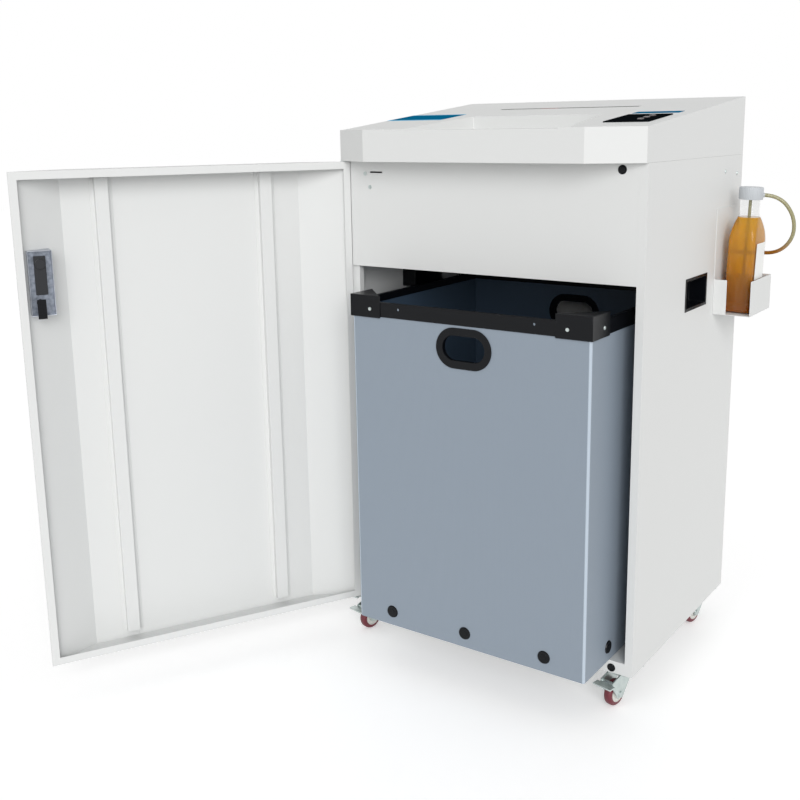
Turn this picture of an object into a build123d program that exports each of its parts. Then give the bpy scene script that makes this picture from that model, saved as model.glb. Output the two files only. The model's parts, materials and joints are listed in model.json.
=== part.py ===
from build123d import *
import os
from math import atan, atan2, cos, degrees, hypot, pi, radians, sin, tan

# Cross-cut shredder on casters, millimetres.
# +X to the right, +Y to the back, +Z up, origin on the floor under the middle of the front edge.

os.makedirs("parts", exist_ok=True)

# casters; the cabinet stands at the height they give it
WHEEL_R = 25.0
WHEEL_HALF = 10.0
TREAD_SHOULDER = 4.0
HUB_DROP = 8.0
TRAIL = 22.0
AXLE_R = 4.0
AXLE_CLEARANCE = 0.05
STEM_R = 6.0
STEM_SHORT = 0.5
CASTER_PLATE = 30.0
CASTER_PLATE_THICK = 2.0
RACE_R = 20.0
RACE_HIGH = 4.0
RACE_STEP = 2.0
RUNNING_GAP = 0.3
FORK_HEADROOM = 10.7
FORK_SHEET = 3.0
FORK_SIDE_GAP = 1.5
FORK_LEG = 2.5
FORK_FRONT = 14.0
FORK_BACK = 22.0
FORK_PLAIN_REACH = 26.0
FORK_FOOT = (9.0, 8.0)
FORK_FOOT_DROP = 6.0
FORK_EAR = 5.0
NUT_R = 6.0
NUT_THICK = 2.5
PEDAL_PIN_R = 2.0
PEDAL_BOSS = 2.0
PEDAL_BEHIND_AXLE = 20.0
PEDAL_OVER_WHEEL = 1.0
PEDAL_LONG = 22.0
PEDAL_NECK = 6.5
PEDAL_HALF = 20.0
PEDAL_THICK = 3.0
CASTER_FROM_SIDE = 35.0
CASTER_FROM_FRONT = 35.0
CASTER_FROM_BACK = 52.0
CASTER_TURN = {"front_right": -101.5, "front_left": -101.5, "rear_right": -101.5, "rear_left": -96.0}

# cabinet
WIDTH = 640.0
DEPTH = 490.0
BODY_HEIGHT = 930.0
MACHINE_BAY = 200.0
SHEET = 1.2
PAN_SHEET = 1.5
PAN_HIGH = 24.0
PAN_FLANGE = 78.0
SIDE = WIDTH / 2
INSIDE = SIDE - SHEET
BODY_BOTTOM = 2 * WHEEL_R + FORK_HEADROOM + FORK_SHEET + RUNNING_GAP + RACE_HIGH + CASTER_PLATE_THICK
BODY_TOP = BODY_BOTTOM + BODY_HEIGHT
LIP_TOP = BODY_BOTTOM + PAN_HIGH

# front opening
LEFT_STILE = 31.0
RIGHT_STILE = 15.0
STILE_SETBACK = 4.5
STILE_RETURN = 14.0
OPENING_DROP = 7.0
LIP_SHORT_LEFT = 14.0
LIP_SHORT_RIGHT = 2.0
LEFT_STILE_EDGE = -SIDE + LEFT_STILE
RIGHT_STILE_EDGE = SIDE - RIGHT_STILE
SHELF_TOP = BODY_TOP - MACHINE_BAY
OPENING_TOP = SHELF_TOP - OPENING_DROP

# bowed front plan, shared by the deck apron and the door
BOW_END_Y = -8.0
BOW_FRONT_Y = -55.0
BOW_FACET = 91.0
BOW_FRONT_X = SIDE - BOW_FACET

# door, drawn closed and then turned to its open rest pose
DOOR_GAP = 1.4
DOOR_BACK_Y = -2.0
DOOR_RISE = 5.4
DOOR_BOTTOM = BODY_BOTTOM + DOOR_RISE
DOOR_TOP = BODY_TOP - DOOR_GAP
DOOR_SHEET = 1.2
DOOR_RING = 14.0
HINGE_IN = 9.0
HINGE_X = -SIDE + HINGE_IN
HINGE_Y = -7.0
HINGE_PIN_R = 2.5
HINGE_CLEARANCE = 0.05
HINGE_PIN_IN = 14.0
HINGE_RELIEF = 18.5
LIP_STEP = 0.5
DOOR_OPEN = 118.1
LUG_HALF = 7.0
LUG_FRONT = 6.0
LUG = 0.8
LOWER_LUG = 3.0
RIB_IN = 72.0
RIB_X = BOW_FRONT_X - RIB_IN
RIB_WIDTH = 24.0
RIB_DEPTH = 13.0
RIB_FLANGE = 8.0
RIB_ENDS = 16.0
RIB_TAB = 22.0

# lock and latch
LOCK_FROM_SIDE = 20.0
LOCK_WIDTH = 42.0
LOCK_FROM_TOP = 137.6
LOCK_HIGH = 116.0
LOCK_TRAY_DEEP = 9.0
LOCK_X1 = SIDE - LOCK_FROM_SIDE
LOCK_X0 = LOCK_X1 - LOCK_WIDTH
LOCK_Z1 = DOOR_TOP - LOCK_FROM_TOP
LOCK_Z0 = LOCK_Z1 - LOCK_HIGH
WORKS_WIDTH = 20.0
WORKS_THICK = 5.0
WORKS_TOP_IN = 10.0
WORKS_OVER_LATCH = 14.0
BARREL_DOWN = 24.0
BARREL_R = 9.0
BARREL_PROUD = 3.0
LATCH_IN = 17.0
LATCH_DOWN = 25.0
LATCH_X = LOCK_X1 - LATCH_IN
LATCH_Z = OPENING_TOP - LATCH_DOWN
LATCH_R = 6.0
LATCH_CLEARANCE = 0.05
CAM_REACH = 27.0
CAM_HALF = 7.5
CAM_Y0 = 2.8
CAM_THICK = 2.4
KNOB_R = 18.0
KNOB_THICK = 14.0
WING_HALF = 5.0
WING_SHORT = 2.0
ESCUTCHEON_R = 20.0
ESCUTCHEON_Y = -40.0
ESCUTCHEON_BACK_Y = -4.0

# feed slot and cutting head
SLOT_FROM_BACK = 147.0
SLOT_Y = DEPTH - SLOT_FROM_BACK
SLOT_HALF_X = 158.5
SLOT_HALF_Y = 10.0
THROAT_WALL = 1.5
THROAT_MARGIN = 3.0
THROAT_CLEAR = 5.0
SENSOR_X = (-66.0, -26.0)
SENSOR_THICK = 5.0
SENSOR_RUN = 54.0
CUTTER_UP = 125.0
CUTTER_Z = SHELF_TOP + CUTTER_UP
CUTTER_HALF = 29.0
DISC_TIP_R = 32.0
DISC_STEP = 4.2
DISC_STEP_TURN = 10.0
DISC_TEETH = 6
DISC_THICK = 7.1
DISC_GAP = 0.6
DISC_LEAD = 13.0
PLATE_CLEAR = 13.5
PLATE_IN = SLOT_HALF_X + PLATE_CLEAR
PLATE_THICK = 10.0
PLATE_OVER_CUTTER = 60.0
PLATE_TOP = CUTTER_Z + PLATE_OVER_CUTTER
PLATE_HALF_Y = 71.0
PLATE_Y = (SLOT_Y - PLATE_HALF_Y, SLOT_Y + PLATE_HALF_Y)
SHRED_MARGIN_X = 7.0
SHRED_MARGIN_Y = 3.0
DISC_PITCH = 2 * (DISC_THICK + DISC_GAP)
DISC_END_ROOM = 30.0
DISC_COUNT = int((2 * PLATE_IN - DISC_END_ROOM) / DISC_PITCH)
HUB_R = 2 * CUTTER_HALF - DISC_TIP_R - DISC_GAP
HUB_END_GAP = 0.5
JOURNAL_R = 12.5
JOURNAL_CLEARANCE = 0.05
JOURNAL_PROUD = 3.0
REAR_JOURNAL_PROUD = 2.0
TIE_R = 7.0
TIE_IN_Y = 11.0
TIE_OVER_SHELF = 12.0
TIE_UNDER_TOP = 11.0
TIE_Y = (PLATE_Y[0] + TIE_IN_Y, PLATE_Y[1] - TIE_IN_Y)
TIE_Z = (SHELF_TOP + TIE_OVER_SHELF, PLATE_TOP - TIE_UNDER_TOP)
COMB_ROOT = 9.0
COMB_THICK = 8.0
TIMING_TEETH = 20
TIMING_GAP = 4.0
TIMING_THICK = 12.0
TIMING_X = (PLATE_IN + PLATE_THICK + TIMING_GAP, PLATE_IN + PLATE_THICK + TIMING_GAP + TIMING_THICK)
DRIVE_TEETH = 36
PINION_TEETH = 12
DRIVE_GAP = 6.0
DRIVE_THICK = 10.0
DRIVE_X = (-PLATE_IN - PLATE_THICK - DRIVE_GAP - DRIVE_THICK, -PLATE_IN - PLATE_THICK - DRIVE_GAP)
MOTOR_AHEAD = 76.0
MOTOR_UNDER = 25.0
MOTOR_Y = SLOT_Y - CUTTER_HALF - MOTOR_AHEAD
MOTOR_Z = CUTTER_Z - MOTOR_UNDER
MOTOR_PLATE_ROOM = 46.0
MOTOR_PLATE_Y = MOTOR_Y - MOTOR_PLATE_ROOM
MOTOR_R = 38.0
MOTOR_LENGTH = 210.0
MOTOR_CAP = 12.0
MOTOR_SHAFT_R = 7.0
MOTOR_SHAFT_IN = 20.0
MOTOR_SHAFT_PROUD = 3.0
GEAR_TIP = 0.8
GEAR_ROOT = 1.2
OIL_BAR_AHEAD = 25.0
OIL_BAR_UP = 42.0
OIL_BAR_Y = SLOT_Y - OIL_BAR_AHEAD
OIL_BAR_Z = CUTTER_Z + OIL_BAR_UP
OIL_BAR_R = 4.0
OIL_BAR_BEND = 16.0
PUMP_FROM_SIDE = 20.0
PUMP_WIDE = 64.0
PUMP_FROM_BACK = 6.0
PUMP_LONG = 48.0
PUMP_HIGH = 50.0
PUMP_X = (SIDE - PUMP_FROM_SIDE - PUMP_WIDE, SIDE - PUMP_FROM_SIDE)
PUMP_Y = (DEPTH - PUMP_FROM_BACK - PUMP_LONG, DEPTH - PUMP_FROM_BACK)
PUMP_TOP = SHELF_TOP + PUMP_HIGH

# machine shelf and deck
SHELF_SHEET = 2.0
SHELF_LIP = 15.0
SHELF_Y0 = 6.0
DECK_SHEET = 1.5
APRON_HIGH = 60.0
DECK_RISE = 54.0
DECK_FRONT_Z = BODY_TOP + APRON_HIGH
DECK_BACK_Z = DECK_FRONT_Z + DECK_RISE
DECK_FLANGE = 14.0
SCOOP_DROP = 2.0
SCOOP_FLOOR = DECK_FRONT_Z - SCOOP_DROP
SCOOP_FRONT_HALF = 183.0
SCOOP_BACK_HALF = 143.0
SCOOP_TO_SLOT = 138.0
SCOOP_BACK_Y = SLOT_Y - SCOOP_TO_SLOT
SCOOP_RUN_OUT = 10.0

# controls
PANEL_FROM_SIDE = 27.0
PANEL_WIDE = 84.0
PANEL_FRONT = 60.0
PANEL_LONG = 111.0
PANEL_X = (SIDE - PANEL_FROM_SIDE - PANEL_WIDE, SIDE - PANEL_FROM_SIDE)
PANEL_Y = (PANEL_FRONT, PANEL_FRONT + PANEL_LONG)
PANEL_THICK = 2.0
PANEL_LIP = 6.0
BUTTON_IN = 25.0
BUTTON_PITCH = 26.5
BUTTON_X = PANEL_X[1] - BUTTON_IN
BUTTON_R = 6.0
BUTTON_CLEARANCE = 0.08
BUTTON_PROUD = 1.6
BUTTON_COLLAR = 1.8
BUTTON_COLLAR_DEEP = 2.6
BUTTONS = {name: PANEL_Y[0] + BUTTON_IN + place * BUTTON_PITCH
           for place, name in enumerate(("reverse_button", "stop_button", "start_button"))}
BOARD_DEPTH = 6.0
BOARD_THICK = 1.6
BOARD_GAP = 1.0
SWITCH_HIGH = 1.6
SWITCH_HALF = 4.0
POST_R = 2.5
POST_IN = 2.0
INLAY_THICK = 0.4
INLAY_EDGE = 0.5
LEFT_INLAY_WIDE = 132.5
LEFT_INLAY_Y = (150.0, 250.0)
RIGHT_INLAY_GAP = 29.0
RIGHT_INLAY_LONG = 28.0
RIGHT_INLAY_LEFT = 6.0
INLAYS = (((-SIDE + INLAY_EDGE, -SIDE + INLAY_EDGE + LEFT_INLAY_WIDE), LEFT_INLAY_Y),
          ((PANEL_X[0] - RIGHT_INLAY_LEFT, PANEL_X[1]),
           (PANEL_Y[1] + RIGHT_INLAY_GAP, PANEL_Y[1] + RIGHT_INLAY_GAP + RIGHT_INLAY_LONG)))

# recessed grips in the side panels
CUP_FROM_BACK = 182.0
CUP_LONG = 114.0
CUP_UNDER_SHELF = 18.0
CUP_HIGH = 62.0
CUP_Y = (DEPTH - CUP_FROM_BACK - CUP_LONG, DEPTH - CUP_FROM_BACK)
CUP_Z = (SHELF_TOP - CUP_UNDER_SHELF - CUP_HIGH, SHELF_TOP - CUP_UNDER_SHELF)
CUP_RIM = 4.0
CUP_RIM_PROUD = 1.0
CUP_WALL = 1.6
CUP_DEEP = 34.0

# waste bin, drawn pulled part of the way out
BIN_LEFT_ROOM = 63.3
BIN_RIGHT_ROOM = 27.7
BIN_FRONT_ROOM = 12.7
BIN_BACK_ROOM = 22.3
BIN_TOP_ROOM = 49.5
BIN_PULLED = 121.6
BIN_X0 = LEFT_STILE_EDGE + BIN_LEFT_ROOM
BIN_X1 = RIGHT_STILE_EDGE - BIN_RIGHT_ROOM
BIN_WIDTH = BIN_X1 - BIN_X0
BIN_CENTRE_X = (BIN_X0 + BIN_X1) / 2
BIN_FRONT_Y = BIN_FRONT_ROOM - BIN_PULLED
BIN_DEPTH = DEPTH - BIN_FRONT_ROOM - BIN_BACK_ROOM
BIN_TOP = OPENING_TOP - BIN_TOP_ROOM
BIN_WALL = 5.0
BIN_RAIL = 1.5
BIN_BRACKET = 1.5
RAIL_HIGH = 27.5
RAIL_INNER = 14.0
BRACKET_BELOW = 30.0
BRACKET_ABOVE = 12.2
BRACKET_Z = (BIN_TOP - BRACKET_BELOW, BIN_TOP + BRACKET_ABOVE)
BRACKET_LEG = 69.0
RIVET_IN = 46.0
RIVET_DOWN = 13.5
RIVET_R = 3.5
RIVET_PROUD = 1.2
RAIL_HOLE = 2.5
RAIL_HOLE_IN = 109.5
RAIL_HOLE_DOWN = 10.5
PUSH_RIVET_R = 12.5
PUSH_RIVET_PROUD = 2.4
PUSH_RIVET_UP = 29.0
PUSH_RIVET_FRONT_IN = 83.5
PUSH_RIVET_SIDE_IN = 102.0
PUSH_RIVETS_FRONT = (PUSH_RIVET_FRONT_IN - BIN_WIDTH / 2, 0.0, BIN_WIDTH / 2 - PUSH_RIVET_FRONT_IN)
PUSH_RIVETS_SIDE = (PUSH_RIVET_SIDE_IN, BIN_DEPTH / 2, BIN_DEPTH - PUSH_RIVET_SIDE_IN)
GROMMET_DOWN = 69.5
GROMMET_Z = BIN_TOP - GROMMET_DOWN
GROMMET_OUTER = (116.0, 75.0)
GROMMET_HOLE = (88.0, 46.0)
GROMMET_WALL = 3.0
GROMMET_FLANGE = 2.0

# bottle tray, bottle and hose on the right side
TRAY_FROM_BACK = 12.0
TRAY_LONG = 129.0
TRAY_UNDER_SHELF = 106.0
TRAY_WALL_HIGH = 69.0
TRAY_BACK_HIGH = 207.0
TRAY_BACK_SHORT = 18.0
TRAY_OUT = 73.6
TRAY_LIP = 26.0
TRAY_Y = (DEPTH - TRAY_FROM_BACK - TRAY_LONG, DEPTH - TRAY_FROM_BACK)
TRAY_BACK_Y1 = TRAY_Y[1] - TRAY_BACK_SHORT
TRAY_Z = SHELF_TOP - TRAY_UNDER_SHELF
BOTTLE_OUT = 37.0
BOTTLE_ALONG = 62.0
BOTTLE_X = SIDE + BOTTLE_OUT
BOTTLE_Y = TRAY_Y[0] + BOTTLE_ALONG
BOTTLE_LEAN = 2.0
BOTTLE_WALL = 1.5
BOTTLE_SECTIONS = ((0.0, 25.0, 37.0, 8.0), (5.0, 28.0, 40.0, 9.0), (152.0, 28.0, 40.0, 9.0),
                   (174.0, 25.0, 32.0, 10.0), (191.0, 20.0, 20.0, 11.7))
NECK_R = 19.0
NECK_TOP = 229.0
CAP_R = 23.0
CAP_Z = (220.0, 244.0)
CAP_TOP_WALL = 3.0
CAP_CLEARANCE = 0.2
OIL_LEVEL = 186.0
DIP_R = 3.0
DIP_CLEARANCE = 0.1
DIP_BOTTOM = 12.0
HOSE_R = 3.75
BARB_R = 2.4
BARB_Z = 229.0
BARB_REACH = 8.0
BARB_TURN = 22.0
HOSE_WALL_HOLE_R = 6.0
GROMMET_RING_R = 9.0
GROMMET_RING_PROUD = 2.0
NOZZLE_FROM_BACK = 18.0
NOZZLE_UP = 6.0
NOZZLE_SHORT = 5.3
NOZZLE_Y = DEPTH - NOZZLE_FROM_BACK
NOZZLE_Z = SHELF_TOP + NOZZLE_UP
HOSE_FIRST = 52.0
HOSE_POINTS = ((441.0, 442.0, 886.0), (440.0, 453.0, 840.0), (408.0, 463.0, 807.0), (354.0, 472.0, 806.0),
               (315.0, 472.0, 806.0))

# small fittings
PLUNGER_FROM_SIDE = 46.0
PLUNGER_DOWN = 11.0
PLUNGER_X = SIDE - PLUNGER_FROM_SIDE
PLUNGER_Z = BODY_TOP - PLUNGER_DOWN
PLUNGER_R = 6.0
PLUNGER_CLEARANCE = 0.05
PLUNGER_PROUD = 1.5
PLUNGER_TRAVEL = 1.2
PLUNGER_ROOM = 2.0
PLUNGER_RING_R = 8.0
PLUNGER_RING_PROUD = 0.6
SWITCH_DEEP = 26.0
SWITCH_END = 8.0
SWITCH_HALF_X = 12.0
SWITCH_Z = (11.0, 10.0)
PLUG_FROM_SIDE = 41.0
PLUG_UP = 10.0
PLUG_X = SIDE - PLUG_FROM_SIDE
PLUG_Z = BODY_BOTTOM + PLUG_UP
PLUG_R = 8.0
PLUG_RIM = 2.0
PLUG_PROUD = 0.8
SCREW_R = 4.0
SCREW_PROUD = 1.4
FRONT_SCREWS = ((54.0, 24.4), (65.0, 50.4))
SIDE_SCREWS = ((102.0, 30.0), (31.0, 36.0))
VENT_FROM_SIDE = 66.0
VENT_LONG = 29.0
VENT_HIGH = 3.0
VENT_DOWN = 20.0
INLET_FROM_SIDE = 70.0
INLET_UP = 30.0
INLET_SIZE = (48.0, 30.0)
INLET_DEEP = 22.0
INLET_WALL = (8.0, 5.0)
INLET_FLOOR = 3.0
INLET_SHY = 0.2
INLET_X = (-SIDE + INLET_FROM_SIDE, -SIDE + INLET_FROM_SIDE + INLET_SIZE[0])
INLET_Z = (SHELF_TOP + INLET_UP, SHELF_TOP + INLET_UP + INLET_SIZE[1])
PINS = ((-9.0, -3.0), (0.0, 3.0), (9.0, -3.0))
PIN_HALF = (1.0, 3.0)
PIN_SHORT = 5.0
LOUVRE_UP = 50.0
LOUVRE_ROOM = 90.0
LOUVRE_Z0 = SHELF_TOP + LOUVRE_UP
LOUVRE_PITCH = 22.0
LOUVRE_COUNT = int((MACHINE_BAY - LOUVRE_ROOM) / LOUVRE_PITCH) + 1
LOUVRE_HALF = 55.0
LOUVRE_HIGH = 6.0
LOUVRE_HOOD = 7.0
LOUVRE_COLUMNS = (-70.0, 90.0)

GAP = DISC_PITCH - DISC_THICK
SLOPE = degrees(atan((DECK_BACK_Z - DECK_FRONT_Z) / DEPTH))
DECK_PLANE = Plane(origin=(0, 0, DECK_FRONT_Z), x_dir=(1, 0, 0),
                   z_dir=(0, -sin(radians(SLOPE)), cos(radians(SLOPE))))


def slab(x, y, z):
    """Box between three pairs of limits."""
    centre = Pos((x[0] + x[1]) / 2, (y[0] + y[1]) / 2, (z[0] + z[1]) / 2)
    return centre * Box(x[1] - x[0], y[1] - y[0], z[1] - z[0])


def prism_x(points, x0, x1):
    """Outline of (y, z) points drawn along X."""
    face = Plane.YZ.offset(x0) * Polygon(*points, align=None)
    return extrude(face, x1 - x0, dir=(1, 0, 0))


def prism_y(points, y0, y1):
    """Outline of (x, z) points drawn along Y."""
    face = Plane(origin=(0, y0, 0), x_dir=(1, 0, 0), z_dir=(0, -1, 0)) * Polygon(*points, align=None)
    return extrude(face, y1 - y0, dir=(0, 1, 0))


def prism_z(points, z0, z1, inset=0.0):
    """Outline of (x, y) points drawn up Z, moved inward by inset."""
    face = Polygon(*points, align=None)
    if inset:
        face = offset(face, amount=-inset, kind=Kind.INTERSECTION)
    return extrude(Pos(0, 0, z0) * face, z1 - z0, dir=(0, 0, 1))


def rod_x(y, z, radius, x0, x1):
    return Pos((x0 + x1) / 2, y, z) * Rot(0, 90, 0) * Cylinder(radius, x1 - x0)


def rod_y(x, z, radius, y0, y1):
    return Pos(x, (y0 + y1) / 2, z) * Rot(90, 0, 0) * Cylinder(radius, y1 - y0)


def rod_z(x, y, radius, z0, z1):
    return Pos(x, y, (z0 + z1) / 2) * Cylinder(radius, z1 - z0)


def on_deck(x, y, height):
    """Box lying on the sloped deck; height is measured square to it."""
    along = 1 / cos(radians(SLOPE))
    return DECK_PLANE * slab(x, (y[0] * along, y[1] * along), height)


def deck_rod(x, y, radius, low, high):
    """Round piece square to the deck."""
    return DECK_PLANE * rod_z(x, y / cos(radians(SLOPE)), radius, low, high)


def open_door(shape):
    """Turns a piece drawn with the door closed into the open rest pose."""
    return Pos(HINGE_X, HINGE_Y, 0) * Rot(0, 0, -DOOR_OPEN) * Pos(-HINGE_X, -HINGE_Y, 0) * shape


def joined(pieces):
    """One solid from touching or overlapping pieces."""
    whole = pieces[0]
    for piece in pieces[1:]:
        whole = whole + piece
    return whole


def save(name, *shapes):
    """Writes one node; several shapes stay separate solids."""
    solids = [solid for shape in shapes for solid in shape.solids()]
    result = solids[0] if len(solids) == 1 else Compound(children=solids)
    result.label = name
    export_step(result, f"parts/{name}.step")


def bow_plan(back_y):
    """Plan outline of the bowed front, closed off at back_y."""
    return ((-SIDE, back_y), (-SIDE, BOW_END_Y), (-BOW_FRONT_X, BOW_FRONT_Y),
            (BOW_FRONT_X, BOW_FRONT_Y), (SIDE, BOW_END_Y), (SIDE, back_y))


def deck_body(inset, bottom):
    """Deck volume with its walls and top moved inward by inset."""
    plan = prism_z(bow_plan(DEPTH), bottom, DECK_BACK_Z + 10, inset)
    drop = inset / cos(radians(SLOPE))
    side = ((BOW_FRONT_Y - 5, bottom), (BOW_FRONT_Y - 5, DECK_FRONT_Z - inset), (0, DECK_FRONT_Z - drop),
            (DEPTH, DECK_BACK_Z - drop), (DEPTH, bottom))
    return plan & prism_x(side, -SIDE, SIDE)


def make_floor_pan():
    """Folded pan: top sheet, front and back lips, bottom flanges for the casters."""
    t = PAN_SHEET
    back = DEPTH - SHEET
    outline = ((0, BODY_BOTTOM), (PAN_FLANGE, BODY_BOTTOM), (PAN_FLANGE, BODY_BOTTOM + t),
               (t, BODY_BOTTOM + t), (t, LIP_TOP - t), (back - t, LIP_TOP - t),
               (back - t, BODY_BOTTOM + t), (back - PAN_FLANGE, BODY_BOTTOM + t),
               (back - PAN_FLANGE, BODY_BOTTOM), (back, BODY_BOTTOM), (back, LIP_TOP), (0, LIP_TOP))
    pan = prism_x(outline, -INSIDE, INSIDE)
    relief = slab((-INSIDE - 1, -SIDE + HINGE_RELIEF), (-1, STILE_SETBACK + SHEET),
                  (DOOR_BOTTOM - RUNNING_GAP, LIP_TOP + 1))
    pan -= relief
    pan -= rod_y(PLUG_X, PLUG_Z, PLUG_R - PLUG_RIM, -1, t + 1)
    return pan


def cup_opening(side, margin=0.0):
    """Opening of a recessed grip through the side panel."""
    x = (min(side * INSIDE, side * SIDE) - 1, max(side * INSIDE, side * SIDE) + 1)
    inner = CUP_RIM - margin
    return slab(x, (CUP_Y[0] + inner, CUP_Y[1] - inner), (CUP_Z[0] + inner, CUP_Z[1] - inner))


def make_left_panel():
    """Left side with the set-back stile that gives the hinge corner room."""
    sheet = slab((-SIDE, -INSIDE), (0, DEPTH), (BODY_BOTTOM, BODY_TOP))
    stile_y = (STILE_SETBACK, STILE_SETBACK + SHEET)
    hinge_edge = -SIDE + HINGE_RELIEF
    outer = slab((-INSIDE, hinge_edge), stile_y, (DOOR_BOTTOM, BODY_TOP))
    inner = slab((hinge_edge, LEFT_STILE_EDGE), stile_y, (LIP_TOP, BODY_TOP))
    back = slab((LEFT_STILE_EDGE - SHEET, LEFT_STILE_EDGE),
                (STILE_SETBACK, STILE_SETBACK + STILE_RETURN), (LIP_TOP, OPENING_TOP))
    return joined([sheet, outer, inner, back]) - cup_opening(-1)


def make_right_panel():
    """Right side with a plain front flange the latch hooks behind."""
    sheet = slab((INSIDE, SIDE), (0, DEPTH), (BODY_BOTTOM, BODY_TOP))
    stile = slab((RIGHT_STILE_EDGE, INSIDE), (0, SHEET), (LIP_TOP, BODY_TOP))
    hose_hole = rod_x(NOZZLE_Y, NOZZLE_Z, HOSE_WALL_HOLE_R, INSIDE - 1, SIDE + 1)
    return joined([sheet, stile]) - cup_opening(1) - hose_hole


def make_rear_panel():
    """Back sheet, flush outside, with louvres hooded inward."""
    inner_y = DEPTH - SHEET
    panel = slab((-INSIDE, INSIDE), (inner_y, DEPTH), (BODY_BOTTOM, BODY_TOP))
    for column in LOUVRE_COLUMNS:
        for row in range(LOUVRE_COUNT):
            z = LOUVRE_Z0 + row * LOUVRE_PITCH
            x = (column - LOUVRE_HALF, column + LOUVRE_HALF)
            panel -= slab(x, (inner_y - 1, DEPTH + 1), (z, z + LOUVRE_HIGH))
            hood = ((inner_y, z + LOUVRE_HIGH + SHEET), (inner_y, z + LOUVRE_HIGH),
                    (inner_y - LOUVRE_HOOD, z), (inner_y - LOUVRE_HOOD, z + SHEET))
            panel += prism_x(hood, x[0], x[1])
    panel -= slab(INLET_X, (inner_y - 1, DEPTH + 1), INLET_Z)
    return panel


def make_upper_front():
    """Fixed front panel above the opening."""
    left = -SIDE + HINGE_RELIEF - LIP_STEP
    face = slab((left, RIGHT_STILE_EDGE), (0, SHEET), (OPENING_TOP, BODY_TOP))
    side = slab((left, left + SHEET), (0, STILE_SETBACK), (OPENING_TOP, BODY_TOP))
    lower = slab((left + SHEET + LIP_SHORT_LEFT, RIGHT_STILE_EDGE - LIP_SHORT_RIGHT), (0, STILE_RETURN),
                 (OPENING_TOP, OPENING_TOP + SHEET))
    panel = joined([face, side, lower])
    panel -= slab((left, LEFT_STILE_EDGE), (SHEET, STILE_RETURN + 1),
                  (OPENING_TOP - 1, OPENING_TOP + SHEET)) - side
    vent_x = -SIDE + VENT_FROM_SIDE
    vent_top = BODY_TOP - VENT_DOWN
    panel -= slab((vent_x, vent_x + VENT_LONG), (-1, SHEET + 1), (vent_top - VENT_HIGH, vent_top))
    panel -= rod_y(PLUNGER_X, PLUNGER_Z, PLUNGER_RING_R - 1, -1, SHEET + 1)
    return panel


def make_shelf():
    """Shelf that carries the cutting head, open under the cutters."""
    top = slab((-INSIDE, INSIDE), (SHELF_Y0, DEPTH - SHEET), (SHELF_TOP - SHELF_SHEET, SHELF_TOP))
    lips = [slab((low, low + SHELF_SHEET), (STILE_RETURN + SHELF_Y0, DEPTH - SHEET),
                 (SHELF_TOP - SHELF_LIP, SHELF_TOP))
            for low in (-INSIDE, INSIDE - SHELF_SHEET)]
    opening = slab((-PLATE_IN + SHRED_MARGIN_X, PLATE_IN - SHRED_MARGIN_X),
                   (PLATE_Y[0] + SHRED_MARGIN_Y, PLATE_Y[1] - SHRED_MARGIN_Y),
                   (SHELF_TOP - SHELF_SHEET - 1, SHELF_TOP + 1))
    return joined([top] + lips) - opening


def scoop_plan(grow):
    """Plan of the paper scoop, moved outward by grow at the sides and the back."""
    front = BOW_FRONT_Y - SCOOP_RUN_OUT
    return ((-SCOOP_FRONT_HALF - grow, front), (SCOOP_FRONT_HALF + grow, front),
            (SCOOP_BACK_HALF + grow, SCOOP_BACK_Y + grow), (-SCOOP_BACK_HALF - grow, SCOOP_BACK_Y + grow))


def make_deck():
    """Folded top with a bowed apron, a paper scoop, the feed slot and the control window."""
    t = DECK_SHEET
    outer = deck_body(0, BODY_TOP)
    inner = deck_body(t, BODY_TOP + t)
    shell = outer - inner
    shell -= slab((-SIDE + DECK_FLANGE, SIDE - DECK_FLANGE), (DECK_FLANGE, DEPTH - DECK_FLANGE),
                  (BODY_TOP - 1, BODY_TOP + t + 0.5))
    liner = prism_z(scoop_plan(t), SCOOP_FLOOR - t, DECK_BACK_Z) & outer
    shell += liner
    shell -= prism_z(scoop_plan(0), SCOOP_FLOOR, DECK_BACK_Z)
    shell -= slab((-SLOT_HALF_X, SLOT_HALF_X), (SLOT_Y - SLOT_HALF_Y, SLOT_Y + SLOT_HALF_Y),
                  (DECK_FRONT_Z, DECK_BACK_Z))
    shell -= on_deck((PANEL_X[0] + PANEL_LIP, PANEL_X[1] - PANEL_LIP),
                     (PANEL_Y[0] + PANEL_LIP, PANEL_Y[1] - PANEL_LIP), (-t - 1, 1))
    return shell


def make_throat():
    """Tube that guides paper from the slot to the cutters, and its red paper sensor."""
    half_x = SLOT_HALF_X + THROAT_MARGIN
    half_y = SLOT_HALF_Y + THROAT_MARGIN
    w = THROAT_WALL
    bottom = CUTTER_Z + DISC_TIP_R + THROAT_CLEAR
    tube = slab((-half_x - w, half_x + w), (SLOT_Y - half_y - w, SLOT_Y + half_y + w),
                (bottom, DECK_BACK_Z))
    tube -= slab((-half_x, half_x), (SLOT_Y - half_y, SLOT_Y + half_y), (bottom - 1, DECK_BACK_Z + 1))
    tube &= deck_body(DECK_SHEET, bottom)
    rear = SLOT_Y + half_y
    sensor = slab(SENSOR_X, (rear - SENSOR_THICK, rear), (DECK_BACK_Z - SENSOR_RUN, DECK_BACK_Z))
    return tube, sensor & deck_body(DECK_SHEET, bottom)


def make_control_panel():
    """Black panel on the deck with three button holes and four posts for its board."""
    panel = on_deck(PANEL_X, PANEL_Y, (0, PANEL_THICK))
    for y in BUTTONS.values():
        panel -= deck_rod(BUTTON_X, y, BUTTON_R + BUTTON_CLEARANCE, -1, PANEL_THICK + 1)
    edge = PANEL_LIP + POST_R + POST_IN
    for x in (PANEL_X[0] + edge, PANEL_X[1] - edge):
        for y in (PANEL_Y[0] + edge, PANEL_Y[1] - edge):
            panel += deck_rod(x, y, POST_R, -BOARD_DEPTH, 0)
    return panel


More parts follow.
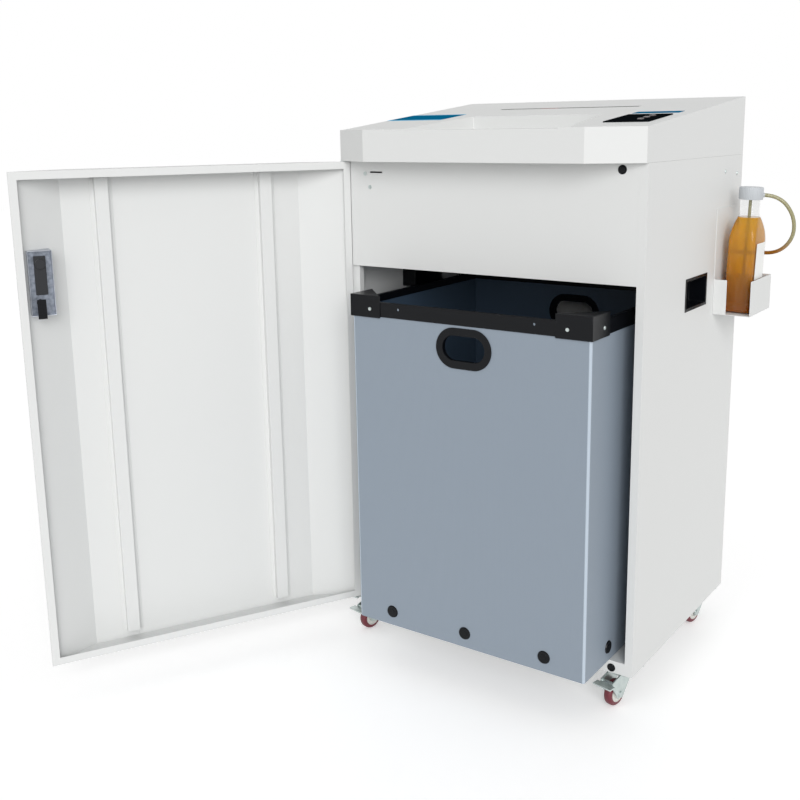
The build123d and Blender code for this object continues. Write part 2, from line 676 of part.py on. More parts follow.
def make_control_board():
    """Circuit board under the panel with a switch below each button."""
    edge = PANEL_LIP + BOARD_GAP
    board = on_deck((PANEL_X[0] + edge, PANEL_X[1] - edge), (PANEL_Y[0] + edge, PANEL_Y[1] - edge),
                    (-BOARD_DEPTH - BOARD_THICK, -BOARD_DEPTH))
    for y in BUTTONS.values():
        board += on_deck((BUTTON_X - SWITCH_HALF, BUTTON_X + SWITCH_HALF), (y - SWITCH_HALF, y + SWITCH_HALF),
                         (-BOARD_DEPTH, -BOARD_DEPTH + SWITCH_HIGH))
    return board


def make_button(y):
    """Button with a collar that keeps it under the panel."""
    stem = deck_rod(BUTTON_X, y, BUTTON_R, -RUNNING_GAP - 1, PANEL_THICK + BUTTON_PROUD)
    collar = deck_rod(BUTTON_X, y, BUTTON_R + BUTTON_COLLAR, -RUNNING_GAP - BUTTON_COLLAR_DEEP, -RUNNING_GAP)
    return stem + collar


def make_cup(side):
    """Recessed grip: rim outside the panel and a five-sided box inside it."""
    x_out = SIDE + CUP_RIM_PROUD
    x_in = SIDE - CUP_DEEP
    hole_y = (CUP_Y[0] + CUP_RIM, CUP_Y[1] - CUP_RIM)
    hole_z = (CUP_Z[0] + CUP_RIM, CUP_Z[1] - CUP_RIM)
    rim = slab((SIDE, x_out), CUP_Y, CUP_Z)
    box = slab((x_in, x_out), hole_y, hole_z)
    w = CUP_WALL
    hollow = slab((x_in + w, x_out + 1), (hole_y[0] + w, hole_y[1] - w), (hole_z[0] + w, hole_z[1] - w))
    cup = rim + box - hollow
    return cup if side > 0 else mirror(cup, about=Plane.YZ)


def make_hinge_lugs():
    """Upper lug hangs from the deck, lower lug stands off the pan; each carries a pin."""
    x = (HINGE_X - LUG_HALF, HINGE_X + LUG_HALF)
    y0 = HINGE_Y - LUG_FRONT
    upper = slab(x, (y0, -1), (BODY_TOP - LUG, BODY_TOP))
    upper += rod_z(HINGE_X, HINGE_Y, HINGE_PIN_R, DOOR_TOP - HINGE_PIN_IN, BODY_TOP - LUG)
    lug_top = DOOR_BOTTOM - 2 * RUNNING_GAP
    lower = slab(x, (y0, 0), (lug_top - LOWER_LUG, lug_top))
    lower += rod_z(HINGE_X, HINGE_Y, HINGE_PIN_R, lug_top, DOOR_BOTTOM + HINGE_PIN_IN)
    return upper, lower


def make_door_pan():
    """Three-facet door pan with a returned edge all round."""
    t = DOOR_SHEET
    plan = bow_plan(DOOR_BACK_Y)
    pan = prism_z(plan, DOOR_BOTTOM, DOOR_TOP) - prism_z(plan, DOOR_BOTTOM + t, DOOR_TOP - t, t)
    pan -= slab((-SIDE + DOOR_RING, SIDE - DOOR_RING), (DOOR_BACK_Y - 2 * t, DOOR_BACK_Y + 1),
                (DOOR_BOTTOM + DOOR_RING, DOOR_TOP - DOOR_RING))
    pan -= rod_z(HINGE_X, HINGE_Y, HINGE_PIN_R + HINGE_CLEARANCE, DOOR_BOTTOM - 1, DOOR_TOP + 1)
    pan -= rod_y(LATCH_X, LATCH_Z, LATCH_R + 1, ESCUTCHEON_Y, 0)
    return pan


def make_ribs():
    """Two hat sections on the middle facet, each with a foot at its lower end."""
    t = DOOR_SHEET
    y = BOW_FRONT_Y + t
    half = RIB_WIDTH / 2
    ribs = []
    for x in (-RIB_X, RIB_X):
        outline = ((x - half - RIB_FLANGE, y), (x - half - RIB_FLANGE, y + t), (x - half, y + t),
                   (x - half, y + RIB_DEPTH), (x + half, y + RIB_DEPTH), (x + half, y + t),
                   (x + half + RIB_FLANGE, y + t), (x + half + RIB_FLANGE, y), (x + half - t, y),
                   (x + half - t, y + RIB_DEPTH - t), (x - half + t, y + RIB_DEPTH - t), (x - half + t, y))
        rib = prism_z(outline, DOOR_BOTTOM + RIB_ENDS, DOOR_TOP - RIB_ENDS)
        foot = slab((x - half, x + half), (y, y + t), (DOOR_BOTTOM + t, DOOR_BOTTOM + RIB_TAB))
        ribs.append(rib + foot)
    return ribs


def facet_y(x):
    """Outer face of the door's right facet."""
    return BOW_END_Y + (SIDE - x) * (BOW_FRONT_Y - BOW_END_Y) / (SIDE - BOW_FRONT_X)


def make_lock_case():
    """Sheet tray set into the wedge behind the right facet, and the lock works on its floor."""
    t = DOOR_SHEET
    back = DOOR_BACK_Y - t
    skin = t / cos(atan((BOW_END_Y - BOW_FRONT_Y) / (SIDE - BOW_FRONT_X)))
    x0, x1 = LOCK_X0, LOCK_X1
    outer = ((x0, back), (x1, back), (x1, facet_y(x1) + skin), (x0, facet_y(x0) + skin))
    case = prism_z(outer, LOCK_Z0, LOCK_Z1)
    inner = ((x0 + t, back + 1), (x1 - t, back + 1), (x1 - t, facet_y(x1 - t) + skin - 1),
             (x0 + t, facet_y(x0 + t) + skin - 1))
    case -= prism_z(inner, LOCK_Z0 + t, LOCK_Z1 - t)
    floor_y = back - LOCK_TRAY_DEEP
    case += slab((x0 + t / 2, x1 - t / 2), (floor_y - t, floor_y), (LOCK_Z0 + t / 2, LOCK_Z1 - t / 2))
    case -= rod_y(LATCH_X, LATCH_Z, LATCH_R + LATCH_CLEARANCE, facet_y(x0), back + 1)
    middle = (x0 + x1) / 2
    works = slab((middle - WORKS_WIDTH / 2, middle + WORKS_WIDTH / 2), (floor_y, floor_y + WORKS_THICK),
                 (LATCH_Z + WORKS_OVER_LATCH, LOCK_Z1 - WORKS_TOP_IN))
    works += rod_y(middle, LOCK_Z1 - BARREL_DOWN, BARREL_R, floor_y + WORKS_THICK,
                   floor_y + WORKS_THICK + BARREL_PROUD)
    return case, works


def make_escutcheon():
    """Boss on the outside of the facet that carries the latch spindle."""
    boss = rod_y(LATCH_X, LATCH_Z, ESCUTCHEON_R, ESCUTCHEON_Y, ESCUTCHEON_BACK_Y)
    boss -= prism_z(bow_plan(DOOR_BACK_Y), DOOR_BOTTOM, DOOR_TOP)
    return boss - rod_y(LATCH_X, LATCH_Z, LATCH_R + LATCH_CLEARANCE, ESCUTCHEON_Y - 1, 0)


def make_latch():
    """Knob outside, spindle through the door and a cam that hangs down when unlatched."""
    knob_back = ESCUTCHEON_Y - RUNNING_GAP
    knob = rod_y(LATCH_X, LATCH_Z, KNOB_R, knob_back - KNOB_THICK / 2, knob_back)
    wing = slab((LATCH_X - WING_HALF, LATCH_X + WING_HALF),
                (knob_back - KNOB_THICK, knob_back - KNOB_THICK / 2 + 1),
                (LATCH_Z - KNOB_R + WING_SHORT, LATCH_Z + KNOB_R - WING_SHORT))
    spindle = rod_y(LATCH_X, LATCH_Z, LATCH_R, knob_back - 1, CAM_Y0 + CAM_THICK)
    cam = slab((LATCH_X - CAM_HALF, LATCH_X + CAM_HALF), (CAM_Y0, CAM_Y0 + CAM_THICK),
               (LATCH_Z - CAM_REACH, LATCH_Z + CAM_HALF))
    return joined([knob, wing, spindle, cam])


def bin_limits(layer):
    """Plan limits of the bin at the board, rail or bracket layer."""
    inset = {"board": BIN_RAIL + BIN_BRACKET, "rail": BIN_BRACKET, "bracket": 0.0}[layer]
    x = (BIN_CENTRE_X - BIN_WIDTH / 2 + inset, BIN_CENTRE_X + BIN_WIDTH / 2 - inset)
    return x, (BIN_FRONT_Y + inset, BIN_FRONT_Y + BIN_DEPTH - inset)


def oval(x, z, size, y0, y1):
    """Round-ended opening or ring body lying across X."""
    plane = Plane(origin=(x, y0, z), x_dir=(1, 0, 0), z_dir=(0, -1, 0))
    return extrude(plane * SlotOverall(size[0], size[1]), y1 - y0, dir=(0, 1, 0))


def make_bin_board():
    """Open box of hollow plastic board with two hand holes."""
    x, y = bin_limits("board")
    bottom = LIP_TOP + RUNNING_GAP
    top = BIN_TOP - BIN_RAIL
    w = BIN_WALL
    box = slab(x, y, (bottom, top))
    box -= slab((x[0] + w, x[1] - w), (y[0] + w, y[1] - w), (bottom + w, top + 1))
    hole = (GROMMET_HOLE[0] + 2 * GROMMET_WALL, GROMMET_HOLE[1] + 2 * GROMMET_WALL)
    return box - oval(BIN_CENTRE_X, GROMMET_Z, hole, y[0] - 1, y[1] + 1)


def make_rails():
    """Channel rails over the four top edges of the bin."""
    x, y = bin_limits("rail")
    bx, by = bin_limits("board")
    r = BIN_RAIL
    w = BIN_WALL
    outer = slab(x, y, (BIN_TOP - RAIL_HIGH, BIN_TOP))
    outer -= slab((bx[0] + w + r, bx[1] - w - r), (by[0] + w + r, by[1] - w - r), (0, BIN_TOP + 1))
    trough = slab(bx, by, (0, BIN_TOP - r))
    trough -= slab((bx[0] + w, bx[1] - w), (by[0] + w, by[1] - w), (0, BIN_TOP))
    rails = outer - trough
    rails -= slab((bx[0] + w - 1, bx[1] - w + 1), (by[0] + w - 1, by[1] - w + 1),
                  (0, BIN_TOP - RAIL_INNER))
    for hole_x in (BIN_X0 + RAIL_HOLE_IN, BIN_X1 - RAIL_HOLE_IN):
        rails -= rod_y(hole_x, BIN_TOP - RAIL_HOLE_DOWN, RAIL_HOLE, y[0] - 1, by[0])
    return rails


def make_brackets():
    """Four corner angles with a gusset plate on top."""
    x, y = bin_limits("bracket")
    b = BIN_BRACKET
    brackets = []
    for sx, ex in ((1, x[0]), (-1, x[1])):
        for sy, ey in ((1, y[0]), (-1, y[1])):
            across = slab(sorted((ex, ex + sx * BRACKET_LEG)), sorted((ey, ey + sy * b)), BRACKET_Z)
            along = slab(sorted((ex, ex + sx * b)), sorted((ey, ey + sy * BRACKET_LEG)), BRACKET_Z)
            gusset = prism_z(((ex, ey), (ex + sx * BRACKET_LEG, ey), (ex, ey + sy * BRACKET_LEG)),
                             BRACKET_Z[1] - b, BRACKET_Z[1])
            brackets.append(joined([across, along, gusset]))
    return brackets


def around_bin(x, y, front_xs, side_ys, z, radius, proud):
    """Round heads on all four faces of the bin; positions count from its centre and its front."""
    heads = []
    for offset_x in front_xs:
        heads.append(rod_y(BIN_CENTRE_X + offset_x, z, radius, y[0] - proud, y[0]))
        heads.append(rod_y(BIN_CENTRE_X + offset_x, z, radius, y[1], y[1] + proud))
    for offset_y in side_ys:
        heads.append(rod_x(BIN_FRONT_Y + offset_y, z, radius, x[0] - proud, x[0]))
        heads.append(rod_x(BIN_FRONT_Y + offset_y, z, radius, x[1], x[1] + proud))
    return heads


def make_grommet(face_y, inward):
    """Oval hand-hole ring clipped through the board; inward points into the bin."""
    w = BIN_WALL
    f = GROMMET_FLANGE
    sleeve = (GROMMET_HOLE[0] + 2 * GROMMET_WALL, GROMMET_HOLE[1] + 2 * GROMMET_WALL)
    y = sorted((face_y, face_y + inward * w))
    out = sorted((face_y, face_y - inward * f))
    back = sorted((face_y + inward * w, face_y + inward * (w + f)))
    ring = oval(BIN_CENTRE_X, GROMMET_Z, GROMMET_OUTER, out[0], out[1])
    ring += oval(BIN_CENTRE_X, GROMMET_Z, sleeve, y[0], y[1])
    ring += oval(BIN_CENTRE_X, GROMMET_Z, GROMMET_OUTER, back[0], back[1])
    return ring - oval(BIN_CENTRE_X, GROMMET_Z, GROMMET_HOLE, y[0] - 9, y[1] + 9)


def make_tray():
    """Folded bottle tray: back plate, floor, outer and rear walls, half-width front lip."""
    t = SHEET
    x = (SIDE, SIDE + TRAY_OUT)
    walls = (TRAY_Z, TRAY_Z + TRAY_WALL_HIGH)
    back = slab((SIDE, SIDE + t), (TRAY_Y[0], TRAY_BACK_Y1), (TRAY_Z, TRAY_Z + TRAY_BACK_HIGH))
    low_back = slab((SIDE, SIDE + t), TRAY_Y, walls)
    floor = slab(x, TRAY_Y, (TRAY_Z, TRAY_Z + t))
    outer = slab((x[1] - t, x[1]), TRAY_Y, walls)
    rear = slab(x, (TRAY_Y[1] - t, TRAY_Y[1]), walls)
    front = slab((SIDE, SIDE + TRAY_LIP), (TRAY_Y[0], TRAY_Y[0] + t), walls)
    return joined([back, low_back, floor, outer, rear, front])


def on_bottle(shape):
    """Places a piece drawn on the bottle's axis; the bottle leans on its outer bottom edge."""
    edge = BOTTLE_SECTIONS[0][1]
    return (Pos(BOTTLE_X + edge, BOTTLE_Y, TRAY_Z + SHEET) * Rot(0, BOTTLE_LEAN, 0)
            * Pos(-edge, 0, 0) * shape)


def barb_point(reach):
    """Point on the cap barb's axis, reach away from the bottle's axis, in the object's frame."""
    edge = BOTTLE_SECTIONS[0][1]
    lean = radians(BOTTLE_LEAN)
    dx = reach * cos(radians(BARB_TURN)) - edge
    return (BOTTLE_X + edge + dx * cos(lean) + BARB_Z * sin(lean),
            BOTTLE_Y + reach * sin(radians(BARB_TURN)),
            TRAY_Z + SHEET - dx * sin(lean) + BARB_Z * cos(lean))


def bottle_form(inset):
    """Stack of chamfered rectangles joined by flat facets, moved inward by inset."""
    sections = []
    for z, a, b, c in BOTTLE_SECTIONS:
        a, b, c = a - inset, b - inset, c - 0.586 * inset
        points = ((a, c - b), (a, b - c), (a - c, b), (c - a, b), (-a, b - c), (-a, c - b),
                  (c - a, -b), (a - c, -b))
        height = z + inset if z == 0 else z
        sections.append(Pos(0, 0, height) * Polygon(*points, align=None))
    return loft(sections, ruled=True)


def make_bottle():
    """Blow-moulded bottle with a plain neck."""
    body = bottle_form(0) + rod_z(0, 0, NECK_R, BOTTLE_SECTIONS[-1][0] - 1, NECK_TOP)
    body -= bottle_form(BOTTLE_WALL)
    body -= rod_z(0, 0, NECK_R - BOTTLE_WALL, BOTTLE_SECTIONS[-1][0] - 2, NECK_TOP + 1)
    return on_bottle(body)


def make_oil():
    """Oil standing in the bottle up to its level, with room for the dip tube."""
    reach = 2 * max(section[2] for section in BOTTLE_SECTIONS)
    oil = bottle_form(BOTTLE_WALL) & slab((-reach, reach), (-reach, reach), (0, OIL_LEVEL))
    return on_bottle(oil - rod_z(0, 0, DIP_R + DIP_CLEARANCE, DIP_BOTTOM - DIP_CLEARANCE, OIL_LEVEL + 1))


def make_cap():
    """Screw cap with a side barb for the hose and the dip tube under it."""
    cap = rod_z(0, 0, CAP_R, CAP_Z[0], CAP_Z[1])
    cap -= rod_z(0, 0, NECK_R + CAP_CLEARANCE, CAP_Z[0] - 1, CAP_Z[1] - CAP_TOP_WALL)
    barb = Rot(0, 0, BARB_TURN) * rod_x(0, BARB_Z, BARB_R, CAP_R - 1, CAP_R + BARB_REACH)
    dip = rod_z(0, 0, DIP_R, DIP_BOTTOM, CAP_Z[1] - CAP_TOP_WALL)
    return on_bottle(cap + barb), on_bottle(dip)


def hose_radius(before, corner, after):
    """Radius that takes up just under half of the shorter run at a corner."""
    u = [before[i] - corner[i] for i in range(3)]
    v = [after[i] - corner[i] for i in range(3)]
    run_u = hypot(*u)
    run_v = hypot(*v)
    turn = pi - atan2(hypot(u[1] * v[2] - u[2] * v[1], u[2] * v[0] - u[0] * v[2], u[0] * v[1] - u[1] * v[0]),
                      u[0] * v[0] + u[1] * v[1] + u[2] * v[2])
    return 0.45 * min(run_u, run_v) / tan(turn / 2)


def make_hose():
    """Oil hose from the cap to the pump inside the right side panel."""
    start = barb_point(CAP_R + RUNNING_GAP)
    points = [start, barb_point(HOSE_FIRST)] + list(HOSE_POINTS)
    corners = range(1, len(points) - 1)
    radii = [hose_radius(points[i - 1], points[i], points[i + 1]) for i in corners]
    path = FilletPolyline(*points, radius=radii)
    print("hose radii", [round(r, 1) for r in radii], "length", round(path.length, 1))
    first = Vector(*points[1]) - Vector(*points[0])
    tube = sweep(Plane(origin=start, z_dir=first) * Circle(HOSE_R), path=path)
    print("hose volume", round(tube.volume, 1), "section by length", round(pi * HOSE_R ** 2 * path.length, 1))
    barb = rod_x(0, BARB_Z, BARB_R, CAP_R, CAP_R + BARB_REACH)
    return tube - on_bottle(Rot(0, 0, BARB_TURN) * barb)


def make_panel_grommet():
    """Ring that lines the hose hole in the side panel."""
    y, z = NOZZLE_Y, NOZZLE_Z
    ring = rod_x(y, z, GROMMET_RING_R, SIDE, SIDE + GROMMET_RING_PROUD)
    ring += rod_x(y, z, HOSE_WALL_HOLE_R, INSIDE - 1, SIDE)
    return ring - rod_x(y, z, HOSE_R + RUNNING_GAP, INSIDE - 2, SIDE + GROMMET_RING_PROUD + 1)


def make_side_plates():
    """Two thick plates with the cutter bearings; the left one also carries the motor."""
    plates = []
    for side, front in ((-1, MOTOR_PLATE_Y), (1, PLATE_Y[0])):
        x = sorted((side * PLATE_IN, side * (PLATE_IN + PLATE_THICK)))
        if front < PLATE_Y[0]:
            outline = ((front, SHELF_TOP), (PLATE_Y[1], SHELF_TOP), (PLATE_Y[1], PLATE_TOP),
                       (PLATE_Y[0], PLATE_TOP), (front, MOTOR_Z + MOTOR_R))
        else:
            outline = ((front, SHELF_TOP), (PLATE_Y[1], SHELF_TOP), (PLATE_Y[1], PLATE_TOP), (front, PLATE_TOP))
        plate = prism_x(outline, x[0], x[1])
        for y in (SLOT_Y - CUTTER_HALF, SLOT_Y + CUTTER_HALF):
            plate -= rod_x(y, CUTTER_Z, JOURNAL_R + JOURNAL_CLEARANCE, x[0] - 1, x[1] + 1)
        if front < PLATE_Y[0]:
            plate -= rod_x(MOTOR_Y, MOTOR_Z, MOTOR_SHAFT_R + 1, x[0] - 1, x[1] + 1)
        else:
            plate -= rod_x(OIL_BAR_Y, OIL_BAR_Z, OIL_BAR_R, x[0] - 1, x[1] + 1)
        plates.append(plate)
    return plates


def disc_outline(phase):
    """Hooked cutting disc as (y, z) points about its own centre."""
    low = DISC_TIP_R - DISC_STEP
    points = []
    for tooth in range(DISC_TEETH):
        angle = phase + tooth * 360 / DISC_TEETH
        points.append((DISC_TIP_R * cos(radians(angle)), DISC_TIP_R * sin(radians(angle))))
        step = radians(angle + DISC_STEP_TURN)
        points.append((low * cos(step), low * sin(step)))
    return points


def make_cutter(y, first_x, lean, x_left, x_right):
    """Cutting cylinder milled from one bar: hub, discs with stepped teeth and two journals."""
    hub = PLATE_IN - HUB_END_GAP
    bar = joined([rod_x(y, CUTTER_Z, HUB_R, -hub, hub), rod_x(y, CUTTER_Z, JOURNAL_R, x_left, -hub),
                  rod_x(y, CUTTER_Z, JOURNAL_R, hub, x_right)])
    discs = []
    for index in range(DISC_COUNT):
        x = first_x + index * DISC_PITCH
        disc = prism_x(disc_outline(lean * index * DISC_LEAD), x, x + DISC_THICK)
        discs.append(Pos(0, y, CUTTER_Z) * disc)
    return bar.fuse(*discs) if len(discs) > 1 else bar + discs[0]


def make_comb(side):
    """Stripper comb: its fingers reach between the discs to the hub."""
    shaft_y = SLOT_Y + side * CUTTER_HALF
    tip = shaft_y + side * (HUB_R + DISC_GAP)
    notch = shaft_y + side * (DISC_TIP_R + DISC_GAP)
    root = notch + side * COMB_ROOT
    z = (CUTTER_Z - COMB_THICK / 2, CUTTER_Z + COMB_THICK / 2)
    comb = slab((-PLATE_IN, PLATE_IN), sorted((tip, root)), z)
    for x in disc_starts(side):
        comb -= slab((x - DISC_GAP, x + DISC_THICK + DISC_GAP), sorted((tip - side, notch)),
                     (z[0] - 1, z[1] + 1))
    return comb


def disc_starts(side):
    """Left faces of the discs; the rear cylinder's discs sit in the front one's gaps."""
    first = -DISC_COUNT * DISC_PITCH / 2 + (GAP - DISC_THICK) / 2
    if side > 0:
        first += DISC_PITCH / 2
    return [first + index * DISC_PITCH for index in range(DISC_COUNT)]


def gear(y, z, teeth, pitch_radius, bore, x, phase):
    """Spur gear with straight-sided teeth; a tooth points along phase."""
    module = 2 * pitch_radius / teeth
    tip = pitch_radius + GEAR_TIP * module
    root = pitch_radius - GEAR_ROOT * module
    step = 360 / teeth
    points = []
    for tooth in range(teeth):
        for share, radius in ((-0.27, root), (-0.1, tip), (0.1, tip), (0.27, root)):
            angle = radians(phase + (tooth + share) * step)
            points.append((radius * cos(angle), radius * sin(angle)))
    blank = Pos(0, y, z) * prism_x(points, x[0], x[1])
    return blank - rod_x(y, z, bore, x[0] - 1, x[1] + 1)


def make_motor():
    """Geared drive motor bolted to the left plate."""
    x0 = -PLATE_IN
    body = rod_x(MOTOR_Y, MOTOR_Z, MOTOR_R, x0, x0 + MOTOR_LENGTH)
    body += rod_x(MOTOR_Y, MOTOR_Z, MOTOR_R / 2, x0 + MOTOR_LENGTH, x0 + MOTOR_LENGTH + MOTOR_CAP)
    return body - rod_x(MOTOR_Y, MOTOR_Z, MOTOR_SHAFT_R + 1, x0 - 1, x0 + MOTOR_SHAFT_IN + 1)


def make_oil_bar():
    """Spray bar over the cutters and the pipe that feeds it from the pump."""
    turn_x = (PUMP_X[0] + PUMP_X[1]) / 2
    pipe_y = (PUMP_Y[0] + PUMP_Y[1]) / 2
    points = ((-PLATE_IN, OIL_BAR_Y, OIL_BAR_Z), (turn_x, OIL_BAR_Y, OIL_BAR_Z),
              (turn_x, pipe_y, OIL_BAR_Z), (turn_x, pipe_y, PUMP_TOP))
    path = FilletPolyline(*points, radius=OIL_BAR_BEND)
    return sweep(Plane(origin=points[0], z_dir=(1, 0, 0)) * Circle(OIL_BAR_R), path=path)


def make_pump():
    """Oil pump on the shelf; the hose slides over its side nozzle."""
    body = slab(PUMP_X, PUMP_Y, (SHELF_TOP, PUMP_TOP))
    return body + rod_x(NOZZLE_Y, NOZZLE_Z, BARB_R, PUMP_X[1] - 1, SIDE - NOZZLE_SHORT)


def make_inlet():
    """Power inlet set into the back panel, flush outside, with three pins."""
    face_y = DEPTH - INLET_SHY
    inset_x, inset_z = INLET_WALL
    body = slab(INLET_X, (DEPTH - SHEET - INLET_DEEP, face_y), INLET_Z)
    body -= slab((INLET_X[0] + inset_x, INLET_X[1] - inset_x), (DEPTH - INLET_DEEP + INLET_FLOOR, DEPTH + 1),
                 (INLET_Z[0] + inset_z, INLET_Z[1] - inset_z))
    middle = (INLET_X[0] + INLET_X[1]) / 2
    level = (INLET_Z[0] + INLET_Z[1]) / 2
    half_x, half_z = PIN_HALF
    for dx, dz in PINS:
        body += slab((middle + dx - half_x, middle + dx + half_x), (DEPTH - INLET_DEEP, DEPTH - PIN_SHORT),
                     (level + dz - half_z, level + dz + half_z))
    return body


def on_caster(name, shape):
    """Places a caster piece drawn with its stem at the origin and the wheel trailing along +X."""
    x = SIDE - CASTER_FROM_SIDE
    y = CASTER_FROM_FRONT if name.startswith("front") else DEPTH - CASTER_FROM_BACK
    return Pos(x if name.endswith("right") else -x, y, 0) * Rot(0, 0, CASTER_TURN[name]) * shape


def make_caster_plate():
    """Top plate and the fixed half of the swivel race, drawn at the stem."""
    c = CASTER_PLATE
    low = BODY_BOTTOM - CASTER_PLATE_THICK
    plate = slab((-c, c), (-c, c), (low, BODY_BOTTOM))
    plate += rod_z(0, 0, RACE_R, low - RACE_HIGH, low)
    return plate - rod_z(0, 0, STEM_R + AXLE_CLEARANCE, low - RACE_HIGH - 1, BODY_BOTTOM + 1)


def pedal_pivot():
    """Place of the brake pedal's pin, just over the back of the wheel."""
    return TRAIL + PEDAL_BEHIND_AXLE, 2 * WHEEL_R + PEDAL_OVER_WHEEL


def make_fork(braked):
    """Bent fork with its stem, axle and nuts; braked forks carry ears for the pedal."""
    half = WHEEL_HALF + FORK_SIDE_GAP
    race_bottom = BODY_BOTTOM - CASTER_PLATE_THICK - RACE_HIGH
    top = race_bottom - RUNNING_GAP
    low = top - FORK_SHEET
    fork = slab((-FORK_FRONT, FORK_BACK), (-half - FORK_LEG, half + FORK_LEG), (low, top))
    fork += rod_z(0, 0, RACE_R - RACE_STEP, low, top)
    fork += rod_z(0, 0, STEM_R, low, BODY_BOTTOM - STEM_SHORT)
    u, z = pedal_pivot()
    reach = u + FORK_EAR if braked else FORK_PLAIN_REACH
    ear = z + FORK_EAR if braked else low
    foot = WHEEL_R - FORK_FOOT_DROP
    leg = ((-FORK_FRONT, top), (-FORK_FRONT, low - FORK_SHEET), (TRAIL - FORK_FOOT[0], foot),
           (TRAIL + FORK_FOOT[1], foot), (reach, z - FORK_EAR), (reach, ear), (FORK_BACK, top))
    for y0 in (-half - FORK_LEG, half):
        fork += prism_y(leg, y0, y0 + FORK_LEG)
    outer = half + FORK_LEG
    fork += rod_y(TRAIL, WHEEL_R, AXLE_R, -outer, outer)
    fork += rod_y(TRAIL, WHEEL_R, NUT_R, outer, outer + NUT_THICK)
    fork += rod_y(TRAIL, WHEEL_R, NUT_R, -outer - NUT_THICK, -outer)
    if braked:
        fork += rod_y(u, z, PEDAL_PIN_R, -outer, outer)
    return fork


def make_wheel():
    """Wheel with a rounded tread and a hub bored for the axle."""
    r, h, s = WHEEL_R, WHEEL_HALF, TREAD_SHOULDER
    bore = AXLE_R + AXLE_CLEARANCE
    hub = r - HUB_DROP
    side = h - s / 2
    outline = ((bore, -h), (hub, -h), (hub, -side), (r - s, -side), (r, s - side),
               (r, side - s), (r - s, side), (hub, side), (hub, h), (bore, h))
    face = Plane.XZ * Polygon(*outline, align=None)
    wheel = revolve(face, Axis.Z)
    return Pos(TRAIL, 0, WHEEL_R) * Rot(90, 0, 0) * wheel


def make_pedal():
    """Brake pedal on its own pin, wide outside the fork and narrow inside it."""
    half = WHEEL_HALF + FORK_SIDE_GAP - RUNNING_GAP
    u, z = pedal_pivot()
    bore = PEDAL_PIN_R + AXLE_CLEARANCE
    level = (z - PEDAL_THICK / 2, z + PEDAL_THICK / 2)
    pedal = rod_y(u, z, PEDAL_PIN_R + PEDAL_BOSS, -half, half)
    pedal += slab((u, u + PEDAL_NECK + 1), (-half, half), level)
    pedal += slab((u + PEDAL_NECK, u + PEDAL_LONG), (-PEDAL_HALF, PEDAL_HALF), level)
    return pedal - rod_y(u, z, bore, -half - 1, half + 1)


def make_switch():
    """Door switch behind the front panel: ring outside and a body the plunger slides in."""
    x, z = PLUNGER_X, PLUNGER_Z
    body = slab((x - SWITCH_HALF_X, x + SWITCH_HALF_X), (SHEET, SWITCH_DEEP),
                (z - SWITCH_Z[0], z + SWITCH_Z[1]))
    body += rod_y(x, z, PLUNGER_RING_R, -PLUNGER_RING_PROUD, 0)
    body += rod_y(x, z, PLUNGER_RING_R - 1, 0, SHEET)
    return body - rod_y(x, z, PLUNGER_R + PLUNGER_CLEARANCE, -2, SWITCH_DEEP - SWITCH_END)


def make_plunger():
    back = SWITCH_DEEP - SWITCH_END - PLUNGER_TRAVEL - PLUNGER_ROOM
    return rod_y(PLUNGER_X, PLUNGER_Z, PLUNGER_R, -PLUNGER_PROUD, back)


def make_screws():
    """Screw heads on the upper front panel and on both side panels."""
    heads = [rod_y(-SIDE + across, BODY_TOP - down, SCREW_R, -SCREW_PROUD, 0) for across, down in FRONT_SCREWS]
    for ahead, down in SIDE_SCREWS:
        y, z = DEPTH - ahead, BODY_TOP - down
        heads.append(rod_x(y, z, SCREW_R, SIDE, SIDE + SCREW_PROUD))
        heads.append(rod_x(y, z, SCREW_R, -SIDE - SCREW_PROUD, -SIDE))
    return heads


def make_plug():
    plug = rod_y(PLUG_X, PLUG_Z, PLUG_R, -PLUG_PROUD, 0)
    return plug + rod_y(PLUG_X, PLUG_Z, PLUG_R - PLUG_RIM, 0, PAN_SHEET)


# cabinet
save("floor_pan", make_floor_pan())
save("left_side_panel", make_left_panel())
save("right_side_panel", make_right_panel())
save("rear_panel", make_rear_panel())
save("upper_front_panel", make_upper_front())
save("machine_shelf", make_shelf())
save("top_deck", make_deck())
save("feed_throat", *make_throat())
save("control_panel", make_control_panel())
save("control_board", make_control_board())
save("deck_inlays", *[on_deck(x, y, (0, INLAY_THICK)) for x, y in INLAYS])
save("side_handle_cups", make_cup(-1), make_cup(1))
save("door_hinge_lugs", *make_hinge_lugs())
save("power_inlet", make_inlet())
save("panel_screws", *make_screws())
save("sill_plug", make_plug())
save("interlock_switch", make_switch())
save("interlock_plunger", make_plunger())
for name, y in BUTTONS.items():
    save(name, make_button(y))

# bottle, tray and hose
save("bottle_tray", make_tray())
save("oil_bottle", make_bottle())
save("bottle_oil", make_oil())
save("bottle_cap", *make_cap())
save("oil_hose", make_hose())
save("hose_grommet", make_panel_grommet())

# door and latch
save("door_pan", open_door(make_door_pan()))
save("door_ribs", *[open_door(rib) for rib in make_ribs()])
save("door_lock_case", *[open_door(piece) for piece in make_lock_case()])
save("door_escutcheon", open_door(make_escutcheon()))
save("door_latch", open_door(make_latch()))

